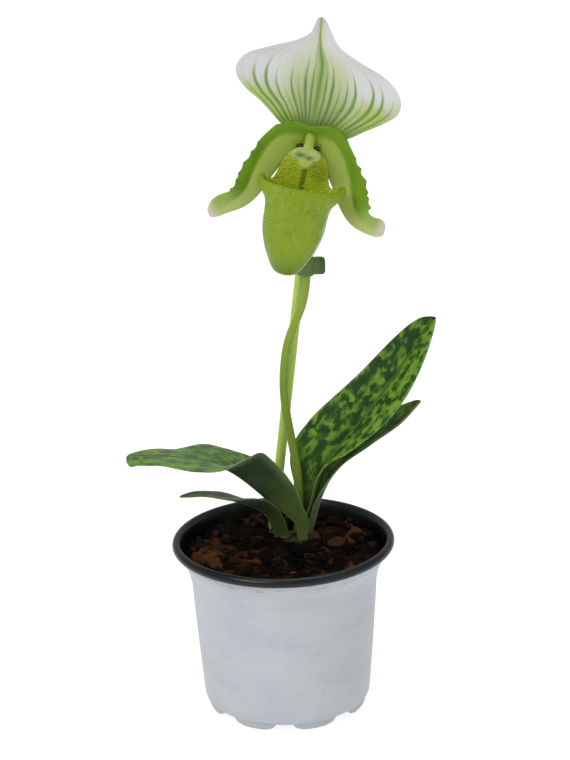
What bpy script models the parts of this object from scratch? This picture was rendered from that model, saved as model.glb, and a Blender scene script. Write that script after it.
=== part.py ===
"""A slipper orchid in its nursery pot, in metres, +Z up.

The origin is on the pot's axis at the surface it stands on, and -Y is the front. Each sub-part is an
object of its own. Leaves, petals and sepals are blades: a ruled sheet along a spine, whose two halves
rise from the midrib by their own angles, made solid with Solidify.
"""

import math
import random

import bmesh
import bpy
from mathutils import Matrix, Vector

MM = 0.001

# Gap left between two sub-parts that touch
GAP = 0.3 * MM

# Pot
RIM_RADIUS = 60 * MM
POT_HEIGHT = 95 * MM
LIP_HEIGHT = 5 * MM
WALL = 1.1 * MM
FLOOR_TOP = 5.6 * MM
FOOT_HEIGHT = 4.0 * MM
FOOT_COUNT = 8
FOOT_TURN = math.radians(-3)
FOOT_NOTCH_TOP = 10.5 * MM
FOOT_NOTCH_BOTTOM = 17 * MM
DRAIN_COUNT = 6
DRAIN_RADIUS = 1.9 * MM
DRAIN_RING = 24 * MM
POT_STEPS = 48

# Bark mix
SOIL_EDGE = 85.6 * MM
SOIL_CROWN = 87.5 * MM
SOIL_RADIUS = 53.0 * MM
SOIL_STEPS = 24
CHIP_COUNT = 42
CHIP_SEED = 11
CHIP_TO_WALL = 1.2 * MM

# Crown and stems
CROWN_CENTRE = Vector((6.5, 18.5, 82.0)) * MM
CROWN_RADII = Vector((16.0, 9.5, 7.0)) * MM
CROWN_CLEAR = 16 * MM
CROWN_TURN = math.radians(20)
ROOT_COUNT = 5
ROOT_RADIUS = 2.2 * MM
SCAPE_RADIUS = 2.3 * MM
SCAPE_POINTS = 28
STAKE_RADIUS = 2.7 * MM
STAKE_FOOT = Vector((-12.8, 33.3, 30.0)) * MM
STAKE_TOP = Vector((17.0, 23.0, 266.0)) * MM

# Tie: half sizes of the ring across and along, outside and inside, then the tab
TIE_CENTRE = Vector((14.95, 21.3, 241.0)) * MM
TIE_OUTSIDE = (4.6 * MM, 7.7 * MM)
TIE_INSIDE = (3.1 * MM, 6.2 * MM)
TIE_HEIGHT = 9.4 * MM
TIE_TAB = Vector((8.6, 5.0, 9.2)) * MM

# Leaves and flower
LEAF_THICKNESS = 1.0 * MM
PETAL_THICKNESS = 0.8 * MM
POUCH_THICKNESS = 1.0 * MM
FLOWER_BASE = Vector((19.7, 2.0, 313.6)) * MM
FLOWER_TURN = math.radians(12)  # clockwise, seen from the front
SHIELD_POINTS = 28
SHIELD_HALF_WIDTH = 7.6 * MM
SHIELD_HALF_HEIGHT = 4.5 * MM


def clear_scene():
    for item in list(bpy.data.objects):
        bpy.data.objects.remove(item, do_unlink=True)


def new_collection(name):
    made = bpy.data.collections.new(name)
    bpy.context.scene.collection.children.link(made)
    return made


def finish(name, colour, roughness):
    """A plain Principled material."""
    made = bpy.data.materials.new(name)
    made.use_nodes = True
    shader = made.node_tree.nodes["Principled BSDF"]
    shader.inputs["Base Color"].default_value = (*colour, 1)
    shader.inputs["Roughness"].default_value = roughness
    shader.inputs["Metallic"].default_value = 0
    return made


def mesh_object(name, points, faces, material, group):
    mesh = bpy.data.meshes.new(name)
    mesh.from_pydata([tuple(point) for point in points], [], faces)
    mesh.update()
    made = bpy.data.objects.new(name, mesh)
    if material:
        mesh.materials.append(material)
    group.objects.link(made)
    return made


def move_to(item, group):
    for old in list(item.users_collection):
        old.objects.unlink(item)
    group.objects.link(item)


def as_cutter(item, group):
    move_to(item, group)
    item.hide_render = True
    item.display_type = "WIRE"
    return item


def cut(target, tool, solver="EXACT"):
    boolean = target.modifiers.new(tool.name, "BOOLEAN")
    boolean.operation = "DIFFERENCE"
    boolean.solver = solver
    boolean.object = tool


def apply_all(item):
    """Replaces the object's mesh by its evaluated one."""
    graph = bpy.context.evaluated_depsgraph_get()
    mesh = bpy.data.meshes.new_from_object(item.evaluated_get(graph))
    item.modifiers.clear()
    item.data = mesh


def fuse(target, pieces, material):
    """Joins a collection's objects to target by one Boolean, and removes them."""
    boolean = target.modifiers.new("Fuse", "BOOLEAN")
    boolean.operation = "UNION"
    boolean.solver = "EXACT"
    boolean.operand_type = "COLLECTION"
    boolean.collection = pieces
    apply_all(target)
    for item in list(pieces.objects):
        bpy.data.objects.remove(item, do_unlink=True)
    bpy.data.collections.remove(pieces)
    target.data.materials.clear()
    target.data.materials.append(material)
    return target


def smooth_path(points, count):
    """count points at even distances along a smooth curve through the given ones."""
    points = [Vector(point) for point in points]
    ends = [2 * points[0] - points[1], *points, 2 * points[-1] - points[-2]]
    fine = []
    for i in range(1, len(ends) - 2):
        a, b, c, d = ends[i - 1 : i + 3]
        for step in range(24):
            t = step / 24
            fine.append(
                0.5 * (2 * b + (c - a) * t + (2 * a - 5 * b + 4 * c - d) * t**2
                       + (3 * b - a - 3 * c + d) * t**3)
            )
    fine.append(points[-1])
    lengths = [0.0]
    for a, b in zip(fine, fine[1:]):
        lengths.append(lengths[-1] + (b - a).length)
    path, i = [], 0
    for n in range(count):
        target = lengths[-1] * n / (count - 1)
        while i < len(fine) - 2 and lengths[i + 1] < target:
            i += 1
        share = (target - lengths[i]) / max(lengths[i + 1] - lengths[i], 1e-9)
        path.append(fine[i].lerp(fine[i + 1], min(share, 1.0)))
    return path


def at(keys, t):
    """The value at t of a smooth curve through (place, value) keys."""
    last = len(keys) - 1
    if t <= keys[0][0]:
        return keys[0][1]
    if t >= keys[last][0]:
        return keys[last][1]
    slopes = [0.0] * (last + 1)
    for i in range(1, last):
        slopes[i] = (keys[i + 1][1] - keys[i - 1][1]) / (keys[i + 1][0] - keys[i - 1][0])
    slopes[0] = (keys[1][1] - keys[0][1]) / (keys[1][0] - keys[0][0])
    slopes[last] = (keys[last][1] - keys[last - 1][1]) / (keys[last][0] - keys[last - 1][0])
    i = next(n for n in range(last) if t <= keys[n + 1][0])
    gap = keys[i + 1][0] - keys[i][0]
    x = (t - keys[i][0]) / gap
    return (
        (2 * x**3 - 3 * x**2 + 1) * keys[i][1] + (x**3 - 2 * x**2 + x) * gap * slopes[i]
        + (3 * x**2 - 2 * x**3) * keys[i + 1][1] + (x**3 - x**2) * gap * slopes[i + 1]
    )


def turned(name, profile, steps, material, group):
    """A closed profile of (radius, height) points, turned about the Z axis."""
    made = mesh_object(name, [(r, 0, z) for r, z in profile], [], material, group)
    made.data.edges.add(len(profile))
    for i, edge in enumerate(made.data.edges):
        edge.vertices = (i, (i + 1) % len(profile))
    screw = made.modifiers.new("Turn", "SCREW")
    screw.steps = screw.render_steps = steps
    screw.use_merge_vertices = True
    screw.merge_threshold = 0.01 * MM
    screw.use_smooth_shade = True
    return made


def tube(name, path, radii, resolution, material, group):
    """A round rod along path, with one radius for each point of it."""
    curve = bpy.data.curves.new(name, "CURVE")
    curve.dimensions = "3D"
    curve.bevel_depth = 1.0
    curve.bevel_resolution = resolution
    curve.use_fill_caps = True
    spline = curve.splines.new("POLY")
    spline.points.add(len(path) - 1)
    for point, place, radius in zip(spline.points, path, radii):
        point.co = (*place, 1)
        point.radius = radius
    made = bpy.data.objects.new(name, curve)
    if material:
        curve.materials.append(material)
    group.objects.link(made)
    return made


def as_mesh(item, group):
    """The same shape as a mesh object with its caps welded; the curve is removed."""
    graph = bpy.context.evaluated_depsgraph_get()
    mesh = bpy.data.meshes.new_from_object(item.evaluated_get(graph))
    work = bmesh.new()
    work.from_mesh(mesh)
    bmesh.ops.remove_doubles(work, verts=work.verts, dist=0.001 * MM)
    bmesh.ops.recalc_face_normals(work, faces=work.faces)
    work.to_mesh(mesh)
    work.free()
    name, place = item.name, item.matrix_world.copy()
    bpy.data.objects.remove(item, do_unlink=True)
    made = bpy.data.objects.new(name, mesh)
    made.matrix_world = place
    group.objects.link(made)
    return made


def flat_outline(name, points, height, group):
    """A solid of a flat outline in the XY plane, centred on it."""
    curve = bpy.data.curves.new(name, "CURVE")
    curve.dimensions = "2D"
    curve.fill_mode = "BOTH"
    curve.extrude = height / 2
    spline = curve.splines.new("POLY")
    spline.points.add(len(points) - 1)
    spline.use_cyclic_u = True
    for point, (x, y) in zip(spline.points, points):
        point.co = (x, y, 0, 1)
    made = bpy.data.objects.new(name, curve)
    group.objects.link(made)
    return as_mesh(made, group)


def blade(name, spine, side, face, halves, rises, size, thickness, material, group, bow=0.0,
          margin=None, level=False):
    """A blade along a spine.

    side points from the midrib to the first half, and face is where its upper face looks. halves
    and rises hold keys for the first half and for the second: its width in millimetres, and the
    degrees by which it rises from flat towards the upper face. size is the number of rows, and of
    columns in each half. bow arches each half. margin(t, half) returns how far the margin is pushed
    out, as a share of the width, and how far it is lifted. With level, every row lies along side.
    """
    rows, columns = size
    path = smooth_path([Vector(point) * MM for point in spine], rows + 1)
    points, index = [], []
    for i, place in enumerate(path[:-1]):
        t = i / rows
        along = (path[i + 1] - path[max(i - 1, 0)]).normalized()
        across = side if level else (side - side.dot(along) * along).normalized()
        upward = along.cross(across).normalized()
        if upward.dot(face) < 0:
            upward.negate()
        row = []
        for j in range(-columns, columns + 1):
            half, sign = (0, 1) if j > 0 else (1, -1)
            share = abs(j) / columns
            rise = math.radians(at(rises[half], t))
            outward = sign * math.cos(rise) * across + math.sin(rise) * upward
            normal = math.cos(rise) * upward - sign * math.sin(rise) * across
            width = at(halves[half], t) * MM
            reach, lift = margin(t, half) if margin else (0.0, 0.0)
            offset = outward * width * share * (1 + reach * share**4)
            offset += normal * (bow * width * share * (1 - share) + lift * share**2)
            row.append(len(points))
            points.append(place + offset)
        index.append(row)
    index.append([len(points)] * (2 * columns + 1))
    points.append(path[-1])
    faces = []
    for i in range(rows):
        for j in range(2 * columns):
            a, b, c, d = index[i][j], index[i][j + 1], index[i + 1][j + 1], index[i + 1][j]
            if c == d:
                faces.append((a, b, c))
            elif j < columns:
                faces += [(a, b, c), (a, c, d)]
            else:
                faces += [(a, b, d), (b, c, d)]
    made = mesh_object(name, points, faces, material, group)
    solid = made.modifiers.new("Thickness", "SOLIDIFY")
    solid.thickness = thickness
    solid.offset = 0
    solid.use_even_offset = True
    made.data.shade_smooth()
    return made


def build_pot(group, cutters, material):
    """A thin pot with a flared mouth, a rolled lip, a faint step and a ring of feet."""
    roll = LIP_HEIGHT / 2
    lip = [
        (RIM_RADIUS - roll + roll * math.cos(math.radians(a)),
         POT_HEIGHT - roll + roll * math.sin(math.radians(a)))
        for a in (112, 90, 60, 30, 0, -35, -75, -110)
    ]
    outside = [
        (54.9, 85.6), (52.6, 81.5), (51.2, 76.6), (50.3, 74.4), (49.1, 56.0), (47.5, 34.0),
        (45.8, 13.0), (45.3, 7.0), (44.6, 3.0), (43.4, 0.0), (38.5, 0.0), (37.6, 4.0),
    ]
    inside = [
        (41.8, 5.6), (44.0, 8.0), (44.7, 13.0), (46.4, 34.0), (48.0, 56.0), (49.1, 74.4),
        (50.1, 77.0), (51.5, 81.5), (53.8, 86.0), (54.8, 91.0),
    ]
    under = FLOOR_TOP - WALL
    profile = [
        *lip, *[(r * MM, z * MM) for r, z in outside], (0.0, under), (0.0, FLOOR_TOP),
        *[(r * MM, z * MM) for r, z in inside],
    ]
    pot = turned("pot", profile, POT_STEPS, material, group)
    for i in range(FOOT_COUNT):
        angle = FOOT_TURN - math.pi / 2 + math.tau * i / FOOT_COUNT
        cut(pot, foot_notch(f"foot_notch_{i + 1}", angle, cutters))
    for i in range(DRAIN_COUNT):
        angle = math.tau * (i + 0.5) / DRAIN_COUNT
        bpy.ops.mesh.primitive_cylinder_add(
            vertices=8, radius=DRAIN_RADIUS, depth=10 * MM,
            location=(DRAIN_RING * math.cos(angle), DRAIN_RING * math.sin(angle), under),
        )
        hole = as_cutter(bpy.context.object, cutters)
        hole.name = f"drain_{i + 1}"
        cut(pot, hole)
    return pot


def foot_notch(name, angle, group):
    """A wedge that parts two feet, wider at the floor."""
    bpy.ops.mesh.primitive_cube_add(size=1)
    made = as_cutter(bpy.context.object, group)
    made.name = name
    for vertex in made.data.vertices:
        wide = FOOT_NOTCH_BOTTOM if vertex.co.z < 0 else FOOT_NOTCH_TOP
        vertex.co.x = (41.0 + 12.0 * vertex.co.x) * MM
        vertex.co.y *= wide
        vertex.co.z = -1 * MM if vertex.co.z < 0 else FOOT_HEIGHT
    made.rotation_euler.z = angle
    return made


def soil_height(radius):
    """The bark's level, mounded a little towards the crown."""
    return SOIL_EDGE + (SOIL_CROWN - SOIL_EDGE) * max(0.0, 1 - radius / SOIL_RADIUS)


def build_substrate(group, material):
    """The bark mix that fills the pot, with chips lying in its top."""
    under = FLOOR_TOP + 2 * GAP
    top = [(SOIL_RADIUS * i / 4, soil_height(SOIL_RADIUS * i / 4)) for i in range(5)]
    side = [
        (51.0, 81.5), (49.5, 77.0), (48.6, 74.0), (47.5, 56.0), (45.9, 34.0), (44.1, 13.0), (43.3, 8.6),
        (41.2, 6.2),
    ]
    profile = [*top, *[(r * MM, z * MM) for r, z in side], (0.0, under)]
    body = turned("substrate", profile, SOIL_STEPS, material, group)
    apply_all(body)
    chips = new_collection("bark_chips")
    draw = random.Random(CHIP_SEED)
    for i in range(CHIP_COUNT):
        size = Vector((draw.uniform(8, 15), draw.uniform(6, 10), draw.uniform(4, 6))) * MM
        angle = i * math.pi * (3 - math.sqrt(5))
        widest = SOIL_RADIUS - size.x * 0.62 - CHIP_TO_WALL
        radius = min(SOIL_RADIUS * math.sqrt((i + 0.6) / CHIP_COUNT), widest)
        place = Vector((radius * math.cos(angle), radius * math.sin(angle), soil_height(radius)))
        if (place.xy - CROWN_CENTRE.xy).length < CROWN_CLEAR:
            continue
        bpy.ops.mesh.primitive_cube_add(size=1)
        chip = bpy.context.object
        move_to(chip, chips)
        for vertex in chip.data.vertices:
            vertex.co *= draw.uniform(0.8, 1.0)
        chip.matrix_world = (
            Matrix.Translation(place)
            @ Matrix.Rotation(draw.uniform(0, math.pi), 4, "Z")
            @ Matrix.Rotation(draw.uniform(-0.35, 0.35), 4, "X")
            @ Matrix.Rotation(draw.uniform(-0.30, 0.30), 4, "Y")
            @ Matrix.Diagonal((*size, 1))
        )
    return fuse(body, chips, material)


def build_rootstock(name, grow, material, group):
    """The short stem of the plant with thick roots, larger all round by grow."""
    bpy.ops.mesh.primitive_uv_sphere_add(segments=16, ring_count=8, radius=1)
    crown = bpy.context.object
    crown.name = name
    move_to(crown, group)
    for vertex in crown.data.vertices:
        vertex.co.z = math.copysign(abs(vertex.co.z) ** 0.6, vertex.co.z)
    radii = CROWN_RADII + Vector((grow, grow, grow))
    crown.data.transform(
        Matrix.Translation(CROWN_CENTRE)
        @ Matrix.Rotation(CROWN_TURN, 4, "Z")
        @ Matrix.Diagonal((*radii, 1))
    )
    roots = new_collection(name + "_roots")
    for i in range(ROOT_COUNT):
        angle = math.radians(10) + math.tau * i / ROOT_COUNT
        out = Vector((math.cos(angle), math.sin(angle), 0)) * MM
        bend = Vector((-out.y, out.x, 0))
        down = Vector((0, 0, -1)) * MM
        base = CROWN_CENTRE + 2 * down
        route = [
            base + 3 * out, base + 13 * out + 11 * down, base + 17 * out + 6 * bend + 27 * down,
            base + 13 * out + 11 * bend + 48 * down,
        ]
        path = smooth_path(route, 6)
        path[-1] += (path[-1] - path[-2]).normalized() * grow
        shrink = [ROOT_RADIUS * (1 - 0.09 * n) + grow for n in range(6)]
        as_mesh(tube(f"{name}_{i + 1}", path, shrink, 1, None, roots), roots)
    return fuse(crown, roots, material)


def build_leaves(group, material):
    """Four keeled leaves in two ranks. The first half of each is the one nearer the viewer."""
    up = Vector((0, 0, 1))

    def wave(t, half, reach=1.1 * MM):
        phase = 0.6 if half else 0.0
        return 0.0, reach * math.sin(math.tau * (2.6 * t + phase)) * min(1.0, 3 * t) * (1 - t)

    blade(
        "leaf_right_large",
        [(12.6, 20.7, 89.5), (14.8, 20.5, 98), (18.5, 20.5, 108), (24, 21.5, 127), (32, 23.5, 136),
         (40, 25.5, 145.5), (51, 28, 158), (60, 29.5, 169.5), (71, 31.5, 186), (79.5, 32, 199.2),
         (85.4, 31, 206.6)],
        Vector((0.24, -0.97, 0)), Vector((-0.7, -0.2, 0.7)),
        [[(0, 5.5), (0.15, 8), (0.35, 14.5), (0.55, 19), (0.7, 19), (0.82, 16), (0.92, 11), (0.97, 6.8),
          (1, 1)],
         [(0, 6), (0.15, 12.5), (0.28, 20.5), (0.38, 22.5), (0.5, 20.5), (0.62, 18), (0.75, 14.8),
          (0.88, 10.5), (0.96, 6), (1, 1)]],
        [[(0, 42), (0.2, 36), (0.4, 2), (0.6, -10), (1, -10)],
         [(0, 45), (0.15, 58), (0.3, 68), (0.5, 76), (0.7, 74), (1, 70)]],
        (20, 4), LEAF_THICKNESS, material, group, bow=0.12,
    )
    blade(
        "leaf_right_small",
        [(15.2, 21, 88.8), (16.8, 20.7, 94), (18.8, 20.6, 101), (21.4, 20.8, 109), (26.8, 22, 119),
         (35.3, 23, 128.5), (50, 25, 138.5), (65, 27, 147.5), (77, 29, 160)],
        Vector((0.1, -0.99, 0)), up,
        [[(0, 5), (0.25, 6.5), (0.45, 9.5), (0.62, 13), (0.74, 13), (0.88, 9), (0.97, 4), (1, 1)],
         [(0, 5), (0.25, 8), (0.5, 14), (0.7, 14), (0.88, 9.5), (0.97, 4), (1, 1)]],
        [[(0, 46), (0.25, 32), (0.45, 16), (0.7, 20), (1, 20)], [(0, 50), (0.4, 52), (0.7, 42), (1, 32)]],
        (16, 4), LEAF_THICKNESS, material, group, bow=0.12, margin=wave,
    )
    blade(
        "leaf_left_large",
        [(8.6, 12, 89.5), (8, 11, 95), (6.2, 9.2, 99.8), (1.5, 5.5, 105.7), (-4, 1.6, 111.8),
         (-9.2, -2.2, 117.8), (-14.3, -5.5, 123.9), (-19.5, -8, 129.6), (-24.1, -9.7, 134.2),
         (-29.2, -10.7, 138.4), (-34.9, -11.2, 141.8), (-41.2, -11.3, 144), (-48, -11, 145.2),
         (-56, -10.2, 146), (-64, -8.9, 146.4), (-73.2, -6.5, 145.9), (-82.1, -4.4, 145.2)],
        Vector((0.45, -0.89, 0)), up,
        [[(0, 5), (0.12, 9), (0.25, 16), (0.4, 18.5), (0.5, 18.5), (0.65, 17), (0.8, 12.5), (0.92, 9),
          (0.98, 6), (1, 3)],
         [(0, 4.5), (0.12, 8), (0.25, 14), (0.4, 18), (0.5, 18.5), (0.65, 18), (0.8, 12.6), (0.92, 8.6),
          (0.98, 4), (1, 2)]],
        [[(0, 70), (0.2, 66), (0.3, 70), (0.38, 86), (0.44, 88), (0.5, 64), (0.54, 34), (0.59, 2),
          (0.68, -7), (0.9, -8), (1, -20)],
         [(0, 15), (0.12, 28), (0.25, 50), (0.38, 58), (0.46, 46), (0.52, 36), (0.6, 23), (0.7, 13),
          (0.82, 2), (1, 2)]],
        (24, 4), LEAF_THICKNESS, material, group, bow=0.1, margin=wave,
    )
    blade(
        "leaf_left_small",
        [(-3.4, 13.5, 88.9), (-4.8, 10.9, 93.8), (-6.4, 7.5, 100.3), (-8.9, 4, 106.4), (-13.1, 0, 111.7),
         (-18.3, -3.5, 115.8), (-23.6, -6.2, 118.6), (-33.5, -9.8, 122.3), (-43.4, -13.2, 125.4),
         (-54.2, -16.5, 126)],
        Vector((0.3, -0.95, 0)), up,
        [[(0, 7.5), (0.2, 7.5), (0.32, 9), (0.5, 12), (0.7, 10.5), (0.9, 5.5), (1, 1)],
         [(0, 8), (0.2, 9), (0.45, 12), (0.7, 10.5), (0.9, 5.5), (1, 1)]],
        [[(0, 70), (0.25, 60), (0.5, 32), (0.7, 16), (1, 10)],
         [(0, 60), (0.18, 38), (0.3, 8), (0.45, -3), (0.7, -1), (1, -2)]],
        (14, 3), LEAF_THICKNESS, material, group, bow=0.1, margin=wave,
    )


def build_scape(group, material):
    """The flower stem, bowed round the stake, with the ovary bent over towards the flower."""
    route = [
        (7.8, 19.2, 89.5), (8.8, 19.4, 96), (9.3, 18.9, 109), (8.7, 18.6, 123), (7.4, 18.5, 135),
        (5.4, 19, 147), (3.4, 19.8, 161), (2.6, 20, 173), (3.1, 19.6, 184), (4.6, 19, 195),
        (7.2, 18.6, 204), (10.4, 18.2, 211.5), (13.4, 18, 219), (15.3, 18, 227), (16.3, 18, 235),
        (16.9, 18, 243), (17.8, 18, 259.5), (18.6, 17, 276), (19.2, 13, 294), (19.5, 8.8, 304.5),
        (19.7, 5.8, 309.8), (19.7, 3.6, 312.4),
    ]
    swell = [(0, 1.1), (0.3, 1.0), (0.75, 0.95), (0.85, 1.05), (0.93, 1.3), (1, 1.0)]
    path = smooth_path([Vector(point) * MM for point in route], SCAPE_POINTS)
    radii = [SCAPE_RADIUS * at(swell, i / (SCAPE_POINTS - 1)) for i in range(SCAPE_POINTS)]
    return as_mesh(tube("flower_stem", path, radii, 2, material, group), group)


def build_bract(group, material):
    """The sheath at the foot of the ovary, folded round the back of it."""
    return blade(
        "bract", [(18.3, 21.5, 271), (18.6, 20.8, 280), (19, 19, 290), (19.5, 17.5, 297)],
        Vector((1, 0, 0)), Vector((0, -1, 0)),
        [[(0, 3.5), (0.4, 5), (0.8, 3), (1, 0.5)]] * 2, [[(0, 45), (1, 35)]] * 2,
        (8, 2), PETAL_THICKNESS, material, group,
    )


def in_flower(right, up, forward):
    """A point of the flower's own frame, in metres in the world."""
    turn, lift = math.cos(FLOWER_TURN), math.sin(FLOWER_TURN)
    point = Vector((right * turn + up * lift, -forward, up * turn - right * lift))
    return FLOWER_BASE + point * MM


def flower_axes():
    right = in_flower(1, 0, 0) - in_flower(0, 0, 0)
    return right.normalized(), Vector((0, -1, 0))


def flower_spine(points):
    return [in_flower(*point) / MM for point in points]


def build_sepals(group, sepal, green):
    right, front = flower_axes()
    blade(
        "dorsal_sepal",
        flower_spine([(0, 1.2, -2.9), (0, 14, -4.2), (0, 28, -4.2), (-0.6, 38, -2.5), (-3.0, 46, -0.5),
                      (-4.7, 53, 0.5), (-5.6, 62, 0)]),
        right, front,
        [[(0, 18), (0.036, 22), (0.09, 26.6), (0.18, 34.6), (0.27, 40.6), (0.35, 42.9), (0.44, 42.3),
          (0.537, 38.2), (0.634, 30), (0.71, 19.6), (0.77, 12.2), (0.826, 8.6), (0.894, 6), (0.96, 3.4),
          (1, 1.2)],
         [(0, 12), (0.036, 15), (0.084, 19), (0.21, 28.7), (0.306, 37.6), (0.402, 43.3), (0.5, 44.2),
          (0.585, 41.3), (0.653, 36), (0.72, 26), (0.788, 13.6), (0.855, 5.4), (0.93, 2.4), (1, 1)]],
        [[(0, -4), (0.12, 0), (0.35, 12), (0.6, 8), (1, 20)]] * 2,
        (20, 8), PETAL_THICKNESS, sepal, group, bow=-0.10, level=True,
    )
    blade(
        "synsepal",
        flower_spine([(0, -3.7, 0.2), (0, -10, -0.9), (0, -18, -1.6), (-0.5, -30, -2.4), (-1, -42, -2.6),
                      (-1, -50, -1.5)]),
        right, front,
        [[(0, 4), (0.2, 8), (0.5, 9.6), (0.75, 9), (0.92, 5), (1, 0.5)]] * 2, [[(0, -10), (1, -15)]] * 2,
        (12, 3), PETAL_THICKNESS, green, group, bow=0.10,
    )


def build_petals(group, material):
    """Strap petals that arch out and hang, with a toothed and warty upper margin."""
    right, front = flower_axes()
    above = front.cross(right)

    def teeth(t, half):
        if half:
            return 0.0, 0.5 * MM * math.sin(math.tau * 2 * t)
        reach = 0.11 * abs(math.sin(math.pi * 11 * t)) if t < 0.8 else 0.0
        return reach, 0.8 * MM * math.sin(math.tau * 3 * t)

    inner = [(0, 2.6), (0.12, 7), (0.25, 9), (0.4, 10), (0.52, 10.2), (0.64, 8.4), (0.76, 6.4), (0.88, 4),
             (0.96, 2.4), (1, 1)]
    rises = [[(0, 10), (0.5, 25), (1, 10)], [(0, 0), (1, 8)]]
    for name, sign, route, outer in (
        ("petal_left", -1,
         [(-3.2, 1.2, 0), (-8, 2.8, 0.4), (-14.3, 1.0, 1.6), (-19.5, -4, 2.4), (-23.2, -11, 2.6),
          (-26, -20.5, 2.6), (-27.8, -29.5, 3.4), (-31.5, -36, 5), (-37.5, -41.5, 7), (-44, -47, 9)],
         [(0, 2.6), (0.15, 4.2), (0.3, 4.4), (0.5, 5.4), (0.7, 6.8), (0.88, 6.8), (0.95, 5), (1, 2)]),
        ("petal_right", 1,
         [(3.2, 1.4, 0), (7.5, 3.3, 0.4), (13, 1.8, 1.6), (17.8, -3.8, 2.4), (22.2, -11, 2.6),
          (25.4, -19, 2.6), (27.8, -27.5, 3.4), (32, -34.8, 5.4), (38.2, -39, 7.6), (46, -41, 9)],
         [(0, 2.6), (0.15, 4.2), (0.35, 4.8), (0.5, 6.6), (0.62, 7.8), (0.76, 7.6), (0.88, 6.8), (0.95, 5),
          (1, 2)]),
    ):
        outward = (right * sign + above).normalized()
        blade(
            name, flower_spine(route), outward, front, [outer, inner], rises, (26, 3), PETAL_THICKNESS,
            material, group, bow=0.1, margin=teeth,
        )


def build_pouch(group, material):
    """The slipper: a cup that is open at the back of its top, with an ear each side of its mouth."""
    around, up = 28, 13
    foot = -69.5
    half_width = [(foot, 0), (-68.3, 4.2), (-66, 7.2), (-61, 11), (-55, 13.8), (-46, 15.6), (-36, 16),
                  (-29, 17.6), (-25, 19.8), (-20, 23), (-8, 23), (-3, 19)]
    centre = [(foot, 15), (-60, 14.5), (-45, 13.5), (-25, 13), (-12, 9.5), (-3, 6)]
    front = [(foot, 0), (-68.3, 3.2), (-66, 5.6), (-61, 8.6), (-54, 11), (-44, 12.6), (-34, 13), (-22, 13.5),
             (-8, 13)]
    back = [(foot, 0), (-68.3, 3), (-66, 5.2), (-61, 8.2), (-54, 10.4), (-44, 11.6), (-30, 11.2), (-20, 9.6),
            (-12, 6.8), (-3, 4)]
    rim = [(0, -4), (13, -5), (25.7, -9.5), (38.6, -21.5), (51.4, -22.5), (64, -21), (77, -19.2), (90, -19.6),
           (103, -21), (130, -22), (180, -22.6)]
    lean = [(foot, 0.6), (-60, 0.4), (-42, -0.6), (-26, -0.5), (-10, 0)]
    points, faces = [in_flower(0.6, foot, 15)], []
    for i in range(1, up + 1):
        for j in range(around):
            turn = math.tau * j / around
            top = at(rim, abs((math.degrees(turn) + 180) % 360 - 180))
            u = foot + (top - foot) * (i / up) ** 1.25
            depth = at(front if math.cos(turn) < 0 else back, u)
            across = at(lean, u) + at(half_width, u) * math.sin(turn)
            points.append(in_flower(across, u, at(centre, u) - depth * math.cos(turn)))
    for j in range(around):
        faces.append((0, 1 + j, 1 + (j + 1) % around))
        for i in range(up - 1):
            a, b = 1 + i * around + j, 1 + i * around + (j + 1) % around
            faces.append((a, a + around, b + around, b))
    made = mesh_object("pouch", points, faces, material, group)
    work = bmesh.new()
    work.from_mesh(made.data)
    bmesh.ops.recalc_face_normals(work, faces=work.faces)
    work.to_mesh(made.data)
    work.free()
    solid = made.modifiers.new("Thickness", "SOLIDIFY")
    solid.thickness = POUCH_THICKNESS
    solid.offset = 0
    made.data.shade_smooth()
    return made


def build_column(group, material):
    """The column with its shield and two anthers."""
    route = [
        in_flower(0, 0.4, 0.7), in_flower(-0.1, 0.2, 3.5), in_flower(-0.4, -1.6, 8),
        in_flower(-0.8, -4.4, 11.4),
    ]
    radii = [2.5 * MM, 2.8 * MM, 2.8 * MM, 3.0 * MM]
    column = as_mesh(tube("column", route, radii, 2, None, group), group)
    pieces = new_collection("column_pieces")
    outline = []
    for i in range(SHIELD_POINTS):
        a = math.tau * i / SHIELD_POINTS
        lower_dip = 0.30 * math.exp(-(((a - 1.5 * math.pi) / 0.42) ** 2))
        upper_dip = 0.14 * math.exp(-(((a - 0.5 * math.pi) / 0.35) ** 2))
        share = 1 - lower_dip - upper_dip
        outline.append((SHIELD_HALF_WIDTH * share * math.cos(a), SHIELD_HALF_HEIGHT * share * math.sin(a)))
    shield = flat_outline("shield", outline, 1.4 * MM, pieces)
    right, front = flower_axes()
    place = Matrix.Translation(in_flower(-1.0, -6.6, 12.2))
    facing = Matrix((right, front.cross(right), front)).transposed().to_4x4()
    shield.matrix_world = place @ facing @ Matrix.Rotation(math.radians(-12), 4, "X")
    for sign in (-1, 1):
        anther = in_flower(-0.4 + 3.6 * sign, -2.6, 8.5)
        bpy.ops.mesh.primitive_uv_sphere_add(
            segments=8, ring_count=6, radius=1.9 * MM, location=anther)
        move_to(bpy.context.object, pieces)
    return fuse(column, pieces, material)


def build_stake(group, material):
    """A straight round rod that leans to the right as it rises."""
    ends = [STAKE_FOOT, STAKE_TOP]
    return as_mesh(tube("stake", ends, [STAKE_RADIUS] * 2, 2, material, group), group)


def build_stake_hole(group):
    """What the stake leaves clear in the bark: GAP wider and deeper than the stake."""
    ends = [STAKE_FOOT - Vector((0, 0, 1 * MM)), STAKE_TOP]
    return as_mesh(tube("stake_hole", ends, [STAKE_RADIUS + GAP] * 2, 2, None, group), group)


def stadium(half_x, half_y, steps=6):
    """An outline with straight sides along Y and round ends."""
    points = []
    for centre, start in ((half_y - half_x, 0), (half_x - half_y, math.pi)):
        for n in range(steps + 1):
            a = start + math.pi * n / steps
            points.append((half_x * math.cos(a), centre + half_x * math.sin(a)))
    return points


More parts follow.
